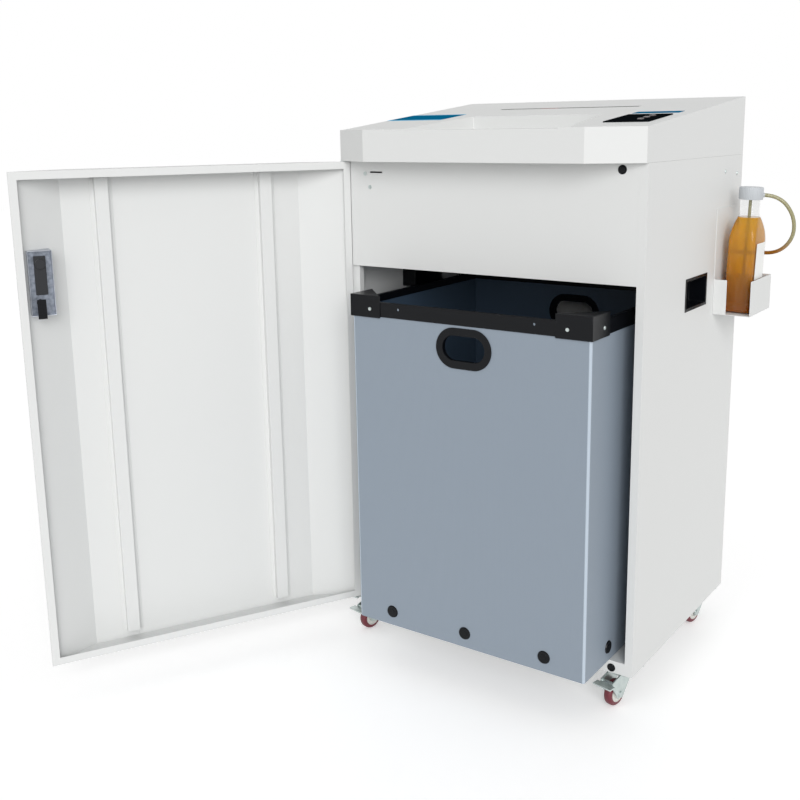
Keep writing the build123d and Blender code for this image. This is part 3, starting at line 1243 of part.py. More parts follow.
# waste bin
bracket_x, bracket_y = bin_limits("bracket")
board_x, board_y = bin_limits("board")
save("bin_board", make_bin_board())
save("bin_rim_rails", make_rails())
save("bin_corner_brackets", *make_brackets())
corner_x = BIN_WIDTH / 2 - RIVET_IN
save("bin_rivets", *around_bin(bracket_x, bracket_y, (-corner_x, corner_x), (RIVET_IN, BIN_DEPTH - RIVET_IN),
                               BIN_TOP - RIVET_DOWN, RIVET_R, RIVET_PROUD))
save("bin_push_rivets", *around_bin(board_x, board_y, PUSH_RIVETS_FRONT, PUSH_RIVETS_SIDE,
                                    LIP_TOP + PUSH_RIVET_UP, PUSH_RIVET_R, PUSH_RIVET_PROUD))
save("bin_grommets", make_grommet(board_y[0], 1), make_grommet(board_y[1], -1))

# cutting head
front_y = SLOT_Y - CUTTER_HALF
rear_y = SLOT_Y + CUTTER_HALF
timing_step = 360 / TIMING_TEETH
drive_reach = hypot(front_y - MOTOR_Y, CUTTER_Z - MOTOR_Z)
drive_angle = degrees(atan2(CUTTER_Z - MOTOR_Z, front_y - MOTOR_Y))
pinion_radius = drive_reach * PINION_TEETH / (PINION_TEETH + DRIVE_TEETH)
save("cutter_side_plates", *make_side_plates())
save("cutter_tie_rods", *[rod_x(y, z, TIE_R, -PLATE_IN, PLATE_IN) for y in TIE_Y for z in TIE_Z])
save("stripper_combs", make_comb(-1), make_comb(1))
save("front_cutter_cylinder", make_cutter(front_y, disc_starts(-1)[0], 1, DRIVE_X[0] - JOURNAL_PROUD,
                                         TIMING_X[1] + JOURNAL_PROUD))
save("rear_cutter_cylinder", make_cutter(rear_y, disc_starts(1)[0], -1,
                                          -PLATE_IN - PLATE_THICK - REAR_JOURNAL_PROUD,
                                          TIMING_X[1] + JOURNAL_PROUD))
save("front_shaft_gears",
     gear(front_y, CUTTER_Z, TIMING_TEETH, CUTTER_HALF, JOURNAL_R, TIMING_X, 0),
     gear(front_y, CUTTER_Z, DRIVE_TEETH, drive_reach - pinion_radius, JOURNAL_R, DRIVE_X,
          drive_angle + 180 + 180 / DRIVE_TEETH))
save("rear_timing_gear", gear(rear_y, CUTTER_Z, TIMING_TEETH, CUTTER_HALF, JOURNAL_R, TIMING_X,
                              timing_step / 2))
pinion = gear(MOTOR_Y, MOTOR_Z, PINION_TEETH, pinion_radius, MOTOR_SHAFT_R - 1, DRIVE_X, drive_angle)
motor_shaft = rod_x(MOTOR_Y, MOTOR_Z, MOTOR_SHAFT_R, DRIVE_X[0] - MOTOR_SHAFT_PROUD, -PLATE_IN + MOTOR_SHAFT_IN)
save("motor_pinion", pinion + motor_shaft)
save("drive_motor", make_motor())
save("oil_spray_bar", make_oil_bar())
save("oil_pump", make_pump())

# casters
save("caster_top_plates", *[on_caster(name, make_caster_plate()) for name in CASTER_TURN])
for name in CASTER_TURN:
    braked = name.startswith("front")
    save(f"caster_fork_{name}", on_caster(name, make_fork(braked)))
    save(f"caster_wheel_{name}", on_caster(name, make_wheel()))
    if braked:
        save(f"brake_pedal_{name}", on_caster(name, make_pedal()))
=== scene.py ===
"""Looks of a cross-cut shredder cabinet: painted sheet steel, fluted bin, oil bottle, casters."""

import json
import math

import bmesh
import bpy
from mathutils import Euler, Matrix, Vector


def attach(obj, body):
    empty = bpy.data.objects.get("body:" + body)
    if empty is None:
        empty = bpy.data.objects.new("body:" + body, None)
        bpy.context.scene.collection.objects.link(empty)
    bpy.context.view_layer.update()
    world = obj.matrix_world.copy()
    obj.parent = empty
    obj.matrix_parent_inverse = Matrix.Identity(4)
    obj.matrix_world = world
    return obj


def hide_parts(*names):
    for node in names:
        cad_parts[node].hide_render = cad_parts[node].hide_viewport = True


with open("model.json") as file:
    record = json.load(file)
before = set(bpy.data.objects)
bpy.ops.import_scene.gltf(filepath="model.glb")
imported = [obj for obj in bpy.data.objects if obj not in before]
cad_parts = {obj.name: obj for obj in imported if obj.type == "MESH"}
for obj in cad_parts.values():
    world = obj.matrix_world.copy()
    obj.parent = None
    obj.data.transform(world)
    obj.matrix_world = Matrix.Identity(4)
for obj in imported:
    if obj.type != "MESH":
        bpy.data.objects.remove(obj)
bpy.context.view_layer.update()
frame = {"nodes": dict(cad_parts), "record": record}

MM = 0.001

# camera, from the photograph's viewpoint
IMAGE_PX = 800
FOCAL_PX = 1049.85
CENTRE_PX = (408.885, 351.742)
CAMERA_PLACE = (0.99807, -1.66582, 1.06458)
CAMERA_TURN = (77.8936, 0.8346, 34.8049)
SENSOR_MM = 36.0
VIEW_REACH_M = 50.0

# lamp, surroundings and floor
KEY_TOWARDS = (-0.60, 0.72, -0.36)
KEY_STRENGTH = 1.95
KEY_SPREAD = 38.0
AMBIENT = 0.55
FLOOR_LIFT = 0.32
FLOOR_REACH_M = 12.0

# edges sharper than these stay edges, in degrees: plain, sheet with blunt folds, turned, blown bottle
SHARP_DEG = 33.0
BLUNT_DEG = 15.0
TURNED_DEG = 32.0
BOTTLE_DEG = 50.0
# faces that meet at less than this many degrees are one flat face
FLAT_DEG = 1.0
# faces larger than this, in square millimetres, are flat sheet and are shaded flat
FLAT_AREA = 400.0
# an upright face's normal rises less than the first, and a face looks a given way beyond the second
UPRIGHT_UNDER = 0.5
LOOKS_BEYOND = 0.9

# real sizes in millimetres
EDGE_ROUND = 0.7
FOLD_ROUND = 4.0
# points nearer than these are one point, on a copied piece and on a turned one
WELD = 0.002
TURNED_WELD = 0.001
# an edge is upright, or lies on a wall, within these
UPRIGHT_WITHIN = 0.01
WALL_WITHIN = 0.5
FLUTE_PITCH = 5.0
FLUTE_RELIEF = 0.06
BIN_FRONT_Y = -108.9
BIN_DEPTH = 455.0
BIN_CENTRE_X = 25.8
BIN_WIDTH = 503.0
BOARD_INSET = 3.0
# faces further in than this are the inside of the bin, which is given painted shade
INSIDE_FROM = 2.0
PUSH_RIVET_Z = 123.0
PUSH_RIVETS_FRONT = (-168.0, 0.0, 168.0)
PUSH_RIVETS_SIDE = (102.0, 227.5, 353.0)
BIN_RIVET_Z = 730.0
BIN_RIVET_IN = 46.0
# heads: radius, height, and radius of the raised middle
PUSH_RIVET_HEAD = (12.5, 2.2, 6.25)
BIN_RIVET_HEAD = (3.5, 1.1, 1.5)
PANEL_SCREW_HEAD = (4.0, 1.25, 2.0)
# a head and its middle narrow to these shares of their feet, and the middle stands this much higher
HEAD_TAPER = 0.9
MIDDLE_TAPER = 0.86
MIDDLE_RISE = 1.12
CABINET_HALF = 320.0
DOOR_OPEN = 118.1
LOCK_FLOOR_IN = 6.0
# heights that the lock works and the paper sensor stay under
LOCK_WORKS_UNDER = 100.0
THROAT_SENSOR_UNDER = 80.0
INLAY_MIDDLE_Y = 200.0
INLAY_BAND_FROM = 40.0
# front screws by x and z, side screws by y and z
FRONT_SCREWS = ((-266.0, 975.6), (-255.0, 949.6))
SIDE_SCREWS = ((388.0, 970.0), (459.0, 964.0))
CASTER_X = 285.0
CASTER_Y = (35.0, 438.0)
CASTER_TRAIL = 22.0
WHEEL_R = 25.0
# each caster's side, row, and turn in degrees
CASTERS = {"front_right": (1, 0, -101.5), "front_left": (-1, 0, -101.5),
           "rear_right": (1, 1, -101.5), "rear_left": (-1, 1, -96.0)}
BOTTLE_BASE = (357.0, 411.0, 695.2)
BOTTLE_FOOT_HALF = 25.0
BOTTLE_LEAN = 2.0
BOTTLE_WALL = 1.5
LABEL_PROUD = 0.15
LABEL_HALF = 26.0
LABEL_HEIGHTS = (66.0, 137.0)
OIL_LEVEL = 186.0
OIL_GAP = 0.15
LEAST_CORNER = 2.0
# heights between which the oil goes from painted shade at the bottom to its full tone, and between which
# the oil standing in the hose changes tone
OIL_SHADE_Z = (700.0, 880.0)
HOSE_TONES_Z = (812.0, 840.0)
BARB_TURN = 22.0
BARB_Z = 229.0
CAP_R = 23.0
# only points this near the cap's widest are ribbed
RIBBED_WITHIN = 0.6
HOSE_OFF_CAP = 0.3
HOSE_D = 7.5
HOSE_ROUTE = ((441.0, 442.0, 886.0), (440.0, 453.0, 840.0), (408.0, 463.0, 807.0),
              (354.0, 472.0, 806.0), (315.0, 472.0, 806.0))
# distance of the hose's second point from the bottle's axis
HOSE_FIRST = 52.0


# materials

def linear(hex_colour):
    """sRGB hex such as #C8CCD0 as linear RGBA."""
    parts = [int(hex_colour[i:i + 2], 16) / 255 for i in (1, 3, 5)]
    return tuple(c / 12.92 if c <= 0.04045 else ((c + 0.055) / 1.055) ** 2.4 for c in parts) + (1.0,)


def add(tree, kind, inputs=(), **settings):
    """Adds a node, sets its properties, then fills or links its named or numbered inputs."""
    node = tree.nodes.new(kind)
    for name, value in settings.items():
        setattr(node, name, value)
    for socket, value in dict(inputs).items():
        if isinstance(value, bpy.types.NodeSocket):
            tree.links.new(value, node.inputs[socket])
        else:
            node.inputs[socket].default_value = value
    return node


def seen_directly(tree):
    """One where a ray comes from the camera, a reflection or through glass, zero where it only lights."""
    ray = add(tree, "ShaderNodeLightPath")
    clear = add(tree, "ShaderNodeMath", {0: ray.outputs["Is Camera Ray"], 1: ray.outputs["Is Glossy Ray"]},
                operation="MAXIMUM")
    clearer = add(tree, "ShaderNodeMath", {0: clear.outputs["Value"],
                                           1: ray.outputs["Is Transmission Ray"]}, operation="MAXIMUM")
    return clearer.outputs["Value"]


def material(name, colour, roughness, metallic=0.0, ior=1.5, gloss=0.5):
    """Plain Principled material with its tree and its shader; a gloss of 0.5 reflects in full."""
    made = bpy.data.materials.new(name)
    made.use_nodes = True
    shader = made.node_tree.nodes["Principled BSDF"]
    shader.inputs["Base Color"].default_value = linear(colour)
    shader.inputs["Roughness"].default_value = roughness
    shader.inputs["Metallic"].default_value = metallic
    if not metallic:
        shader.inputs["IOR"].default_value = ior
        shader.inputs["Specular IOR Level"].default_value = gloss
    return made, made.node_tree, shader


def grain(tree, shader, size_mm, depth_mm, detail=2.0):
    """Fine random surface relief of the given grain size."""
    place = add(tree, "ShaderNodeTexCoord")
    noise = add(tree, "ShaderNodeTexNoise", {"Vector": place.outputs["Object"],
                                             "Scale": 1 / (size_mm * MM), "Detail": detail})
    bump = add(tree, "ShaderNodeBump", {"Height": noise.outputs["Fac"], "Distance": depth_mm * MM,
                                        "Strength": 0.6})
    tree.links.new(bump.outputs["Normal"], shader.inputs["Normal"])


def object_axes(tree):
    """Object coordinates as the outputs X, Y and Z."""
    place = add(tree, "ShaderNodeTexCoord")
    return add(tree, "ShaderNodeSeparateXYZ", {"Vector": place.outputs["Object"]}).outputs


def blend(tree, shader, share, first, second):
    """Base colour that goes from one tone to another as the share goes from zero to one."""
    mix = add(tree, "ShaderNodeMix", {"Factor": share, "A": linear(first), "B": linear(second)},
              data_type="RGBA")
    tree.links.new(mix.outputs["Result"], shader.inputs["Base Color"])


def blend_upwards(tree, shader, heights, first, second):
    """Base colour that goes from one tone to another between two heights in mm."""
    rise = add(tree, "ShaderNodeMapRange", {"Value": object_axes(tree)["Z"], "From Min": heights[0] * MM,
                                            "From Max": heights[1] * MM})
    blend(tree, shader, rise.outputs["Result"], first, second)


def mottle(tree, shader, size_mm, first, second, texture="ShaderNodeTexNoise"):
    """Base colour that wanders between two near tones."""
    place = add(tree, "ShaderNodeTexCoord")
    blot = add(tree, texture, {"Vector": place.outputs["Object"], "Scale": 1 / (size_mm * MM)})
    share = blot.outputs["Fac"] if "Fac" in blot.outputs else blot.outputs["Distance"]
    blend(tree, shader, share, first, second)


def powder_coat():
    """Powder-coated sheet steel, baked on: an even light grey with the faintest orange peel."""
    made, tree, shader = material("powder_coated_steel", "#DADBDA", 0.5, gloss=0.35)
    grain(tree, shader, size_mm=2.4, depth_mm=0.05)
    return made


def fluted_board(name, colour):
    """Extruded hollow polypropylene board: its flutes show as fine upright lines."""
    made, tree, shader = material(name, colour, 0.5)
    axes = object_axes(tree)
    across = add(tree, "ShaderNodeMath", {0: axes["X"], 1: axes["Y"]}, operation="ADD")
    turns = add(tree, "ShaderNodeMath", {0: across.outputs["Value"],
                                         1: 2 * math.pi / (FLUTE_PITCH * MM)}, operation="MULTIPLY")
    wave = add(tree, "ShaderNodeMath", {0: turns.outputs["Value"]}, operation="SINE")
    bump = add(tree, "ShaderNodeBump", {"Height": wave.outputs["Value"], "Distance": FLUTE_RELIEF * MM,
                                        "Strength": 0.5})
    tree.links.new(bump.outputs["Normal"], shader.inputs["Normal"])
    return made


def moulded_black():
    """Injection-moulded black ABS with a fine spark-eroded texture, so it stays satin."""
    made, tree, shader = material("moulded_black_abs", "#090B0F", 0.27, gloss=0.2)
    grain(tree, shader, size_mm=1.2, depth_mm=0.04)
    return made


def zinc_plate():
    """Bright zinc-plated steel: greyish with slight blue-green clouding."""
    made, tree, shader = material("zinc_plated_steel", "#C6D0CE", 0.35, metallic=0.9)
    mottle(tree, shader, 9.0, "#B4C0BE", "#D3DAD8")
    return made


def spangled_sheet():
    """Hot-dip galvanised sheet: flat grey crystals a few millimetres across."""
    made, tree, shader = material("galvanised_sheet", "#AEB3BC", 0.4, metallic=0.85)
    mottle(tree, shader, 8.0, "#A2A7B0", "#BCC0C8", "ShaderNodeTexVoronoi")
    return made


def shaded_tray_floor():
    """Plated steel of the lock tray's recessed floor, painted dark as shade, with bright patches between
    dark ones.
    """
    made, tree, shader = material("plated_steel_painted_shade", "#6A727E", 0.3, metallic=0.5)
    mottle(tree, shader, 7.0, "#2E343C", "#AEB6C4")
    return made


def ground_steel():
    """Hardened and ground tool steel with a thin oil film: dark and fairly sharp."""
    made, tree, shader = material("ground_tool_steel", "#8E8F92", 0.28, metallic=1.0)
    mottle(tree, shader, 4.0, "#85868A", "#98999B")
    return made


def clear_bottle():
    """Blow-moulded clear PET, thin and glossy: it shows mostly as highlights over the oil; its grey tone is
    painted shade that darkens the neck.
    """
    # grey here is painted shade, not the plastic's own colour
    made, tree, shader = material("clear_pet_painted_grey", "#7E827C", 0.05)
    shader.inputs["Alpha"].default_value = 0.06
    return made


def amber_oil():
    """Mineral shredder oil, clear amber, painted darker towards the bottom as shade."""
    made, tree, shader = material("amber_mineral_oil", "#D08A00", 0.03, ior=1.15)
    shader.inputs["Transmission Weight"].default_value = 0.5
    shader.inputs["Coat Weight"].default_value = 0.3
    shader.inputs["Coat Roughness"].default_value = 0.05
    # painted shade: the oil is darker towards the bottom
    blend_upwards(tree, shader, OIL_SHADE_Z, "#C06A00", "#E2A400")
    return made


def clear_vinyl():
    """Extruded soft vinyl tube, yellowed, with oil standing in its lower end."""
    made, tree, shader = material("clear_vinyl_tube", "#B3AD84", 0.2, ior=1.52)
    shader.inputs["Transmission Weight"].default_value = 0.35
    blend_upwards(tree, shader, HOSE_TONES_Z, "#A66C22", "#A8A37C")
    return made


def inlay_film():
    """Printed polyester film: mid blue with a pale blue band along its front and back edges."""
    made, tree, shader = material("printed_blue_film", "#0A6A92", 0.5, gloss=0.0)
    middle = add(tree, "ShaderNodeMath", {0: object_axes(tree)["Y"], 1: INLAY_MIDDLE_Y * MM},
                 operation="SUBTRACT")
    away = add(tree, "ShaderNodeMath", {0: middle.outputs["Value"]}, operation="ABSOLUTE")
    band = add(tree, "ShaderNodeMath", {0: away.outputs["Value"], 1: INLAY_BAND_FROM * MM},
               operation="GREATER_THAN")
    blend(tree, shader, band.outputs["Value"], "#0A6A92", "#5DAED2")
    return made


def simple(name, colour, roughness, metallic=0.0, grain_mm=0.0, gloss=0.5):
    """Material with one tone and, where asked, a light grain."""
    made, tree, shader = material(name, colour, roughness, metallic, gloss=gloss)
    if grain_mm:
        grain(tree, shader, grain_mm, depth_mm=0.04)
    return made


PAINT = powder_coat()
BOARD = fluted_board("fluted_polypropylene_board", "#88939F")
# the same board inside the bin, darkened as painted shade
BOARD_INSIDE_SHADE = fluted_board("polypropylene_board_inside_painted_shade", "#3A4B5D")
# the board's rounded folds, painted lighter as a highlight
FOLD = simple("polypropylene_fold_painted_highlight", "#B4C0CC", 0.45)
BLACK = moulded_black()
ZINC = zinc_plate()
GALVANISED = spangled_sheet()
TOOL_STEEL = ground_steel()
BOTTLE = clear_bottle()
OIL = amber_oil()
VINYL = clear_vinyl()
INLAY = inlay_film()
# moulded polypropylene, light grey and slightly waxy
CAP_GREY = simple("moulded_grey_polypropylene", "#B9BDC1", 0.38, grain_mm=1.5)
# cast polyurethane tread, dark red with a soft sheen
TREAD = simple("maroon_polyurethane", "#6A2530", 0.4, grain_mm=2.0)
# moulded nylon wheel centre, off-white
NYLON = simple("moulded_white_nylon", "#D5D5D0", 0.4)
# enamelled motor housing, near black
MOTOR_ENAMEL = simple("black_motor_enamel", "#23262B", 0.35, grain_mm=2.0)
# glass-fibre board under green solder mask
CIRCUIT = simple("green_solder_mask", "#1D5530", 0.3)
# moulded acrylic caps, smoked
BUTTON = simple("moulded_smoked_acrylic", "#554E50", 0.3, gloss=0.2)
# coated paper label, left bare
LABEL = simple("coated_label_paper", "#EDEEEC", 0.5)
# red moulded sensor housing
SENSOR = simple("red_moulded_sensor", "#8E2F33", 0.5, gloss=0.2)
# printed control face over black polycarbonate
PANEL_BLACK = simple("black_polycarbonate", "#0E1114", 0.5, gloss=0.0)
# floor of the lock tray, painted dark as shade in its recess
TRAY_FLOOR_SHADE = shaded_tray_floor()
# paper guide and lock works, blackened steel
BLACKENED = simple("blackened_steel", "#181A1E", 0.45, metallic=0.2, gloss=0.2)

FORKS = ["caster_fork_" + name for name in CASTERS]
PEDALS = ["brake_pedal_" + name for name in CASTERS if name.startswith("front")]
WHEELS = ["caster_wheel_" + name for name in CASTERS]
NODE_MATERIALS = {
    PAINT: ("floor_pan", "left_side_panel", "right_side_panel", "rear_panel", "upper_front_panel",
            "top_deck", "bottle_tray", "door_pan", "door_ribs"),
    GALVANISED: ("machine_shelf", "door_lock_case"),
    BLACKENED: ("feed_throat",),
    PANEL_BLACK: ("control_panel",),
    BLACK: ("side_handle_cups", "power_inlet", "sill_plug", "interlock_switch",
            "interlock_plunger", "hose_grommet", "door_escutcheon", "door_latch", "bin_rim_rails",
            "bin_corner_brackets", "bin_grommets", "oil_pump"),
    ZINC: ("door_hinge_lugs", "cutter_tie_rods", "oil_spray_bar", "caster_top_plates", *FORKS, *PEDALS),
    TOOL_STEEL: ("cutter_side_plates", "stripper_combs", "front_cutter_cylinder", "rear_cutter_cylinder",
                 "front_shaft_gears", "rear_timing_gear", "motor_pinion"),
    BOARD: ("bin_board",),
    BOTTLE: ("oil_bottle",),
    OIL: ("bottle_oil",),
    CAP_GREY: ("bottle_cap",),
    VINYL: ("oil_hose",),
    INLAY: ("deck_inlays",),
    BUTTON: ("start_button", "stop_button", "reverse_button"),
    MOTOR_ENAMEL: ("drive_motor",),
    CIRCUIT: ("control_board",),
    TREAD: WHEELS,
}
# folded, moulded and cast pieces, whose edges are rounded
SOFTENED = ("top_deck", "upper_front_panel", "left_side_panel", "right_side_panel", "door_pan",
            "door_ribs", "floor_pan", "bottle_tray", "side_handle_cups", "control_panel", "bin_board",
            "bin_rim_rails", "bin_corner_brackets", "bin_grommets", *FORKS, *PEDALS, "caster_top_plates",
            "door_lock_case", "feed_throat", "door_latch", "door_escutcheon", "start_button",
            "stop_button", "reverse_button", "interlock_switch", "interlock_plunger", "sill_plug",
            "hose_grommet", "door_hinge_lugs", "drive_motor", "cutter_side_plates")
# sheet pieces with blunt folds, where every fold over BLUNT_DEG stays an edge
FOLDED = ("top_deck", "door_pan", "upper_front_panel", "left_side_panel", "right_side_panel", "door_ribs",
          "door_lock_case", "bottle_tray")


# making pieces

def body_of(node):
    """Body that carries a CAD node."""
    for body, nodes in frame["record"]["behaviour"]["bodies"].items():
        if node in nodes:
            return body
    raise KeyError(node)


def placed(name, data):
    """Object with this data, put in the scene."""
    made = bpy.data.objects.new(name, data)
    bpy.context.scene.collection.objects.link(made)
    return made


def mesh_of(form, name):
    """Mesh made from a form, which is then let go."""
    mesh = bpy.data.meshes.new(name)
    form.to_mesh(mesh)
    form.free()
    return mesh


def new_piece(name, mesh, finish, body):
    """Object at the origin, with its finish, riding on a body."""
    piece = placed(name, mesh)
    mesh.materials.clear()
    mesh.materials.append(finish)
    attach(piece, body)
    return piece


def shade(mesh, sharp_deg=TURNED_DEG):
    """Smooth faces with sharp edges kept."""
    mesh.shade_smooth()
    mesh.set_sharp_from_angle(angle=math.radians(sharp_deg))


def soften(node, finish):
    """Copy of a CAD node with its sharp edges rounded as folded or moulded ones are."""
    source = frame["nodes"][node]
    kept_over = BLUNT_DEG if node in FOLDED else SHARP_DEG
    form = bmesh.new()
    form.from_mesh(source.data)
    bmesh.ops.remove_doubles(form, verts=form.verts, dist=WELD * MM)
    bmesh.ops.dissolve_limit(form, angle_limit=math.radians(FLAT_DEG), verts=form.verts,
                             edges=form.edges)
    if node == "bin_board":
        round_folds(form)
    sharp = [edge for edge in form.edges
             if len(edge.link_faces) == 2 and edge.calc_face_angle(0) > math.radians(SHARP_DEG)]
    bmesh.ops.bevel(form, geom=sharp, offset=EDGE_ROUND * MM, segments=2, profile=0.5, affect="EDGES",
                    clamp_overlap=True)
    for face in form.faces:
        face.smooth = face.calc_area() < FLAT_AREA * MM * MM
    bmesh.ops.triangulate(form, faces=[f for f in form.faces if len(f.verts) > 4])
    rounded = [face.smooth for face in form.faces]
    mesh = mesh_of(form, node + "_finished")
    shade(mesh, kept_over)
    mesh.polygons.foreach_set("use_smooth", rounded)
    piece = new_piece(node + "_finished", mesh, finish, body_of(node))
    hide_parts(node)
    return piece


def bin_walls(inset=BOARD_INSET):
    """Outer faces of the bin at an inset, by default its board's: left, right, front, back, in mm."""
    return (BIN_CENTRE_X - BIN_WIDTH / 2 + inset, BIN_CENTRE_X + BIN_WIDTH / 2 - inset,
            BIN_FRONT_Y + inset, BIN_FRONT_Y + BIN_DEPTH - inset)


def round_folds(form):
    """Rounds the four upright outer folds of the bin's board."""
    left, right, front, back = bin_walls()
    folds = []
    for edge in form.edges:
        one, other = (v.co / MM for v in edge.verts)
        upright = (one.xy - other.xy).length < UPRIGHT_WITHIN
        on_side = min(abs(one.x - left), abs(one.x - right)) < WALL_WITHIN
        on_end = min(abs(one.y - front), abs(one.y - back)) < WALL_WITHIN
        if upright and on_side and on_end:
            folds.append(edge)
    bmesh.ops.bevel(form, geom=folds, offset=FOLD_ROUND * MM, segments=4, profile=0.5, affect="EDGES")


def repaint(piece, finish, wanted):
    """Gives another finish to the faces whose centre, in mm, is wanted."""
    piece.data.materials.append(finish)
    for face in piece.data.polygons:
        if wanted(face.center / MM, face.normal):
            face.material_index = len(piece.data.materials) - 1


def repaint_loose(piece, finish, highest):
    """Gives another finish to the separate solids of a piece that are less than this many mm tall."""
    form = bmesh.new()
    form.from_mesh(piece.data)
    piece.data.materials.append(finish)
    seen = set()
    for start in form.faces:
        if start in seen:
            continue
        group, front = {start}, [start]
        while front:
            face = front.pop()
            for edge in face.edges:
                for near in edge.link_faces:
                    if near not in group:
                        group.add(near)
                        front.append(near)
        seen |= group
        heights = [v.co.z / MM for face in group for v in face.verts]
        if max(heights) - min(heights) < highest:
            for face in group:
                face.material_index = len(piece.data.materials) - 1
    form.to_mesh(piece.data)
    form.free()


def lathe(name, profile, place, finish, body, steps=64, ribs=0, rib_mm=0.0):
    """Closed profile of (radius, height) in mm turned about Z, then placed; ribs flute the outside."""
    form = bmesh.new()
    widest = max(r for r, _ in profile)
    rings = []
    for step in range(steps):
        angle = 2 * math.pi * step / steps
        dent = rib_mm * (0.5 - 0.5 * math.cos(angle * ribs)) if ribs else 0.0
        ring = []
        for r, h in profile:
            radius = r - (dent if r > widest - RIBBED_WITHIN else 0.0)
            point = Vector((radius * math.cos(angle), radius * math.sin(angle), h))
            ring.append(form.verts.new(point * MM))
        rings.append(ring)
    count = len(profile)
    for step in range(steps):
        here, there = rings[step], rings[(step + 1) % steps]
        for i in range(count):
            j = (i + 1) % count
            form.faces.new((here[i], there[i], there[j], here[j]))
    bmesh.ops.remove_doubles(form, verts=form.verts, dist=TURNED_WELD * MM)
    bmesh.ops.recalc_face_normals(form, faces=form.faces)
    bmesh.ops.transform(form, matrix=place, verts=form.verts)
    mesh = mesh_of(form, name)
    shade(mesh)
    return new_piece(name, mesh, finish, body)


def bottle_place():
    """Bottle axis in the cabinet: it stands on its outer bottom edge and leans outward."""
    x, y, z = BOTTLE_BASE
    return (Matrix.Translation(Vector((x + BOTTLE_FOOT_HALF, y, z)) * MM)
            @ Matrix.Rotation(math.radians(BOTTLE_LEAN), 4, "Y")
            @ Matrix.Translation(Vector((-BOTTLE_FOOT_HALF, 0, 0)) * MM))


def barb_side():
    """The bottle's axis, turned so that X points along the cap's barb."""
    return bottle_place() @ Matrix.Rotation(math.radians(BARB_TURN), 4, "Z")


def rounded_ring(half_x, half_y, corner, height, per_corner=10):
    """Points of a rounded rectangle, in mm."""
    points = []
    for quarter, (sx, sy) in enumerate(((1, 1), (-1, 1), (-1, -1), (1, -1))):
        for step in range(per_corner + 1):
            angle = math.radians(90 * quarter + 90 * step / per_corner)
            points.append(Vector((sx * (half_x - corner) + corner * math.cos(angle),
                                  sy * (half_y - corner) + corner * math.sin(angle), height)) * MM)
    return points


# half width in x, half width in y, corner radius, height
BOTTLE_RINGS = ((24.0, 36.0, 7.0, 0.0), (26.6, 38.6, 9.0, 0.8), (27.9, 39.9, 10.0, 4.0),
                (27.9, 39.9, 10.0, 9.0), (27.1, 39.1, 10.0, 11.0), (27.9, 39.9, 10.0, 13.0),
                (27.9, 39.9, 10.0, 18.0), (27.1, 39.1, 10.0, 20.0), (27.9, 39.9, 10.0, 22.0),
                (27.9, 39.9, 10.0, 140.0), (27.4, 39.3, 11.0, 149.0), (26.4, 37.0, 13.0, 160.0),
                (24.6, 32.2, 16.0, 172.0), (22.2, 26.0, 18.0, 183.0), (20.0, 21.2, 19.0, 190.0),
                (19.0, 19.0, 19.0, 195.0), (19.0, 19.0, 19.0, 229.0))


def skinned(name, rings, finish, body, inner=None):
    """Loft through the rings; with inner rings it becomes a wall open at the top, else it is capped."""
    form = bmesh.new()

    def loft(stack):
        loops = [[form.verts.new(p) for p in ring] for ring in stack]
        for low, high in zip(loops, loops[1:]):
            for i in range(len(low)):
                j = (i + 1) % len(low)
                form.faces.new((low[i], low[j], high[j], high[i]))
        form.faces.new(list(reversed(loops[0])))
        return loops[-1]

    top = loft(rings)
    if inner:
        inside = loft(inner)
        for i in range(len(top)):
            j = (i + 1) % len(top)
            form.faces.new((top[i], top[j], inside[j], inside[i]))
    else:
        form.faces.new(top)
    bmesh.ops.recalc_face_normals(form, faces=form.faces)
    bmesh.ops.transform(form, matrix=bottle_place(), verts=form.verts)
    mesh = mesh_of(form, name)
    shade(mesh, BOTTLE_DEG)
    return new_piece(name, mesh, finish, body)


def inset_rings(rings, inset, top):
    """The rings moved inward and cut off at a height, for the inside of the wall and for the oil."""
    kept = []
    for x, y, corner, z in rings:
        if z <= top:
            kept.append((x - inset, y - inset, max(corner - inset, LEAST_CORNER), max(z, inset)))
    lower = kept[-1]
    upper = next((ring for ring in rings if ring[3] > top), None)
    if upper:
        share = (top - lower[3]) / (upper[3] - lower[3])
        kept.append(tuple(a + share * (b - inset - a) for a, b in zip(lower[:3], upper)) + (top,))
    return [rounded_ring(*ring) for ring in kept]


# repeated heads made by geometry nodes

HEAD_INPUTS = ("Head radius", "Head height", "Middle radius")


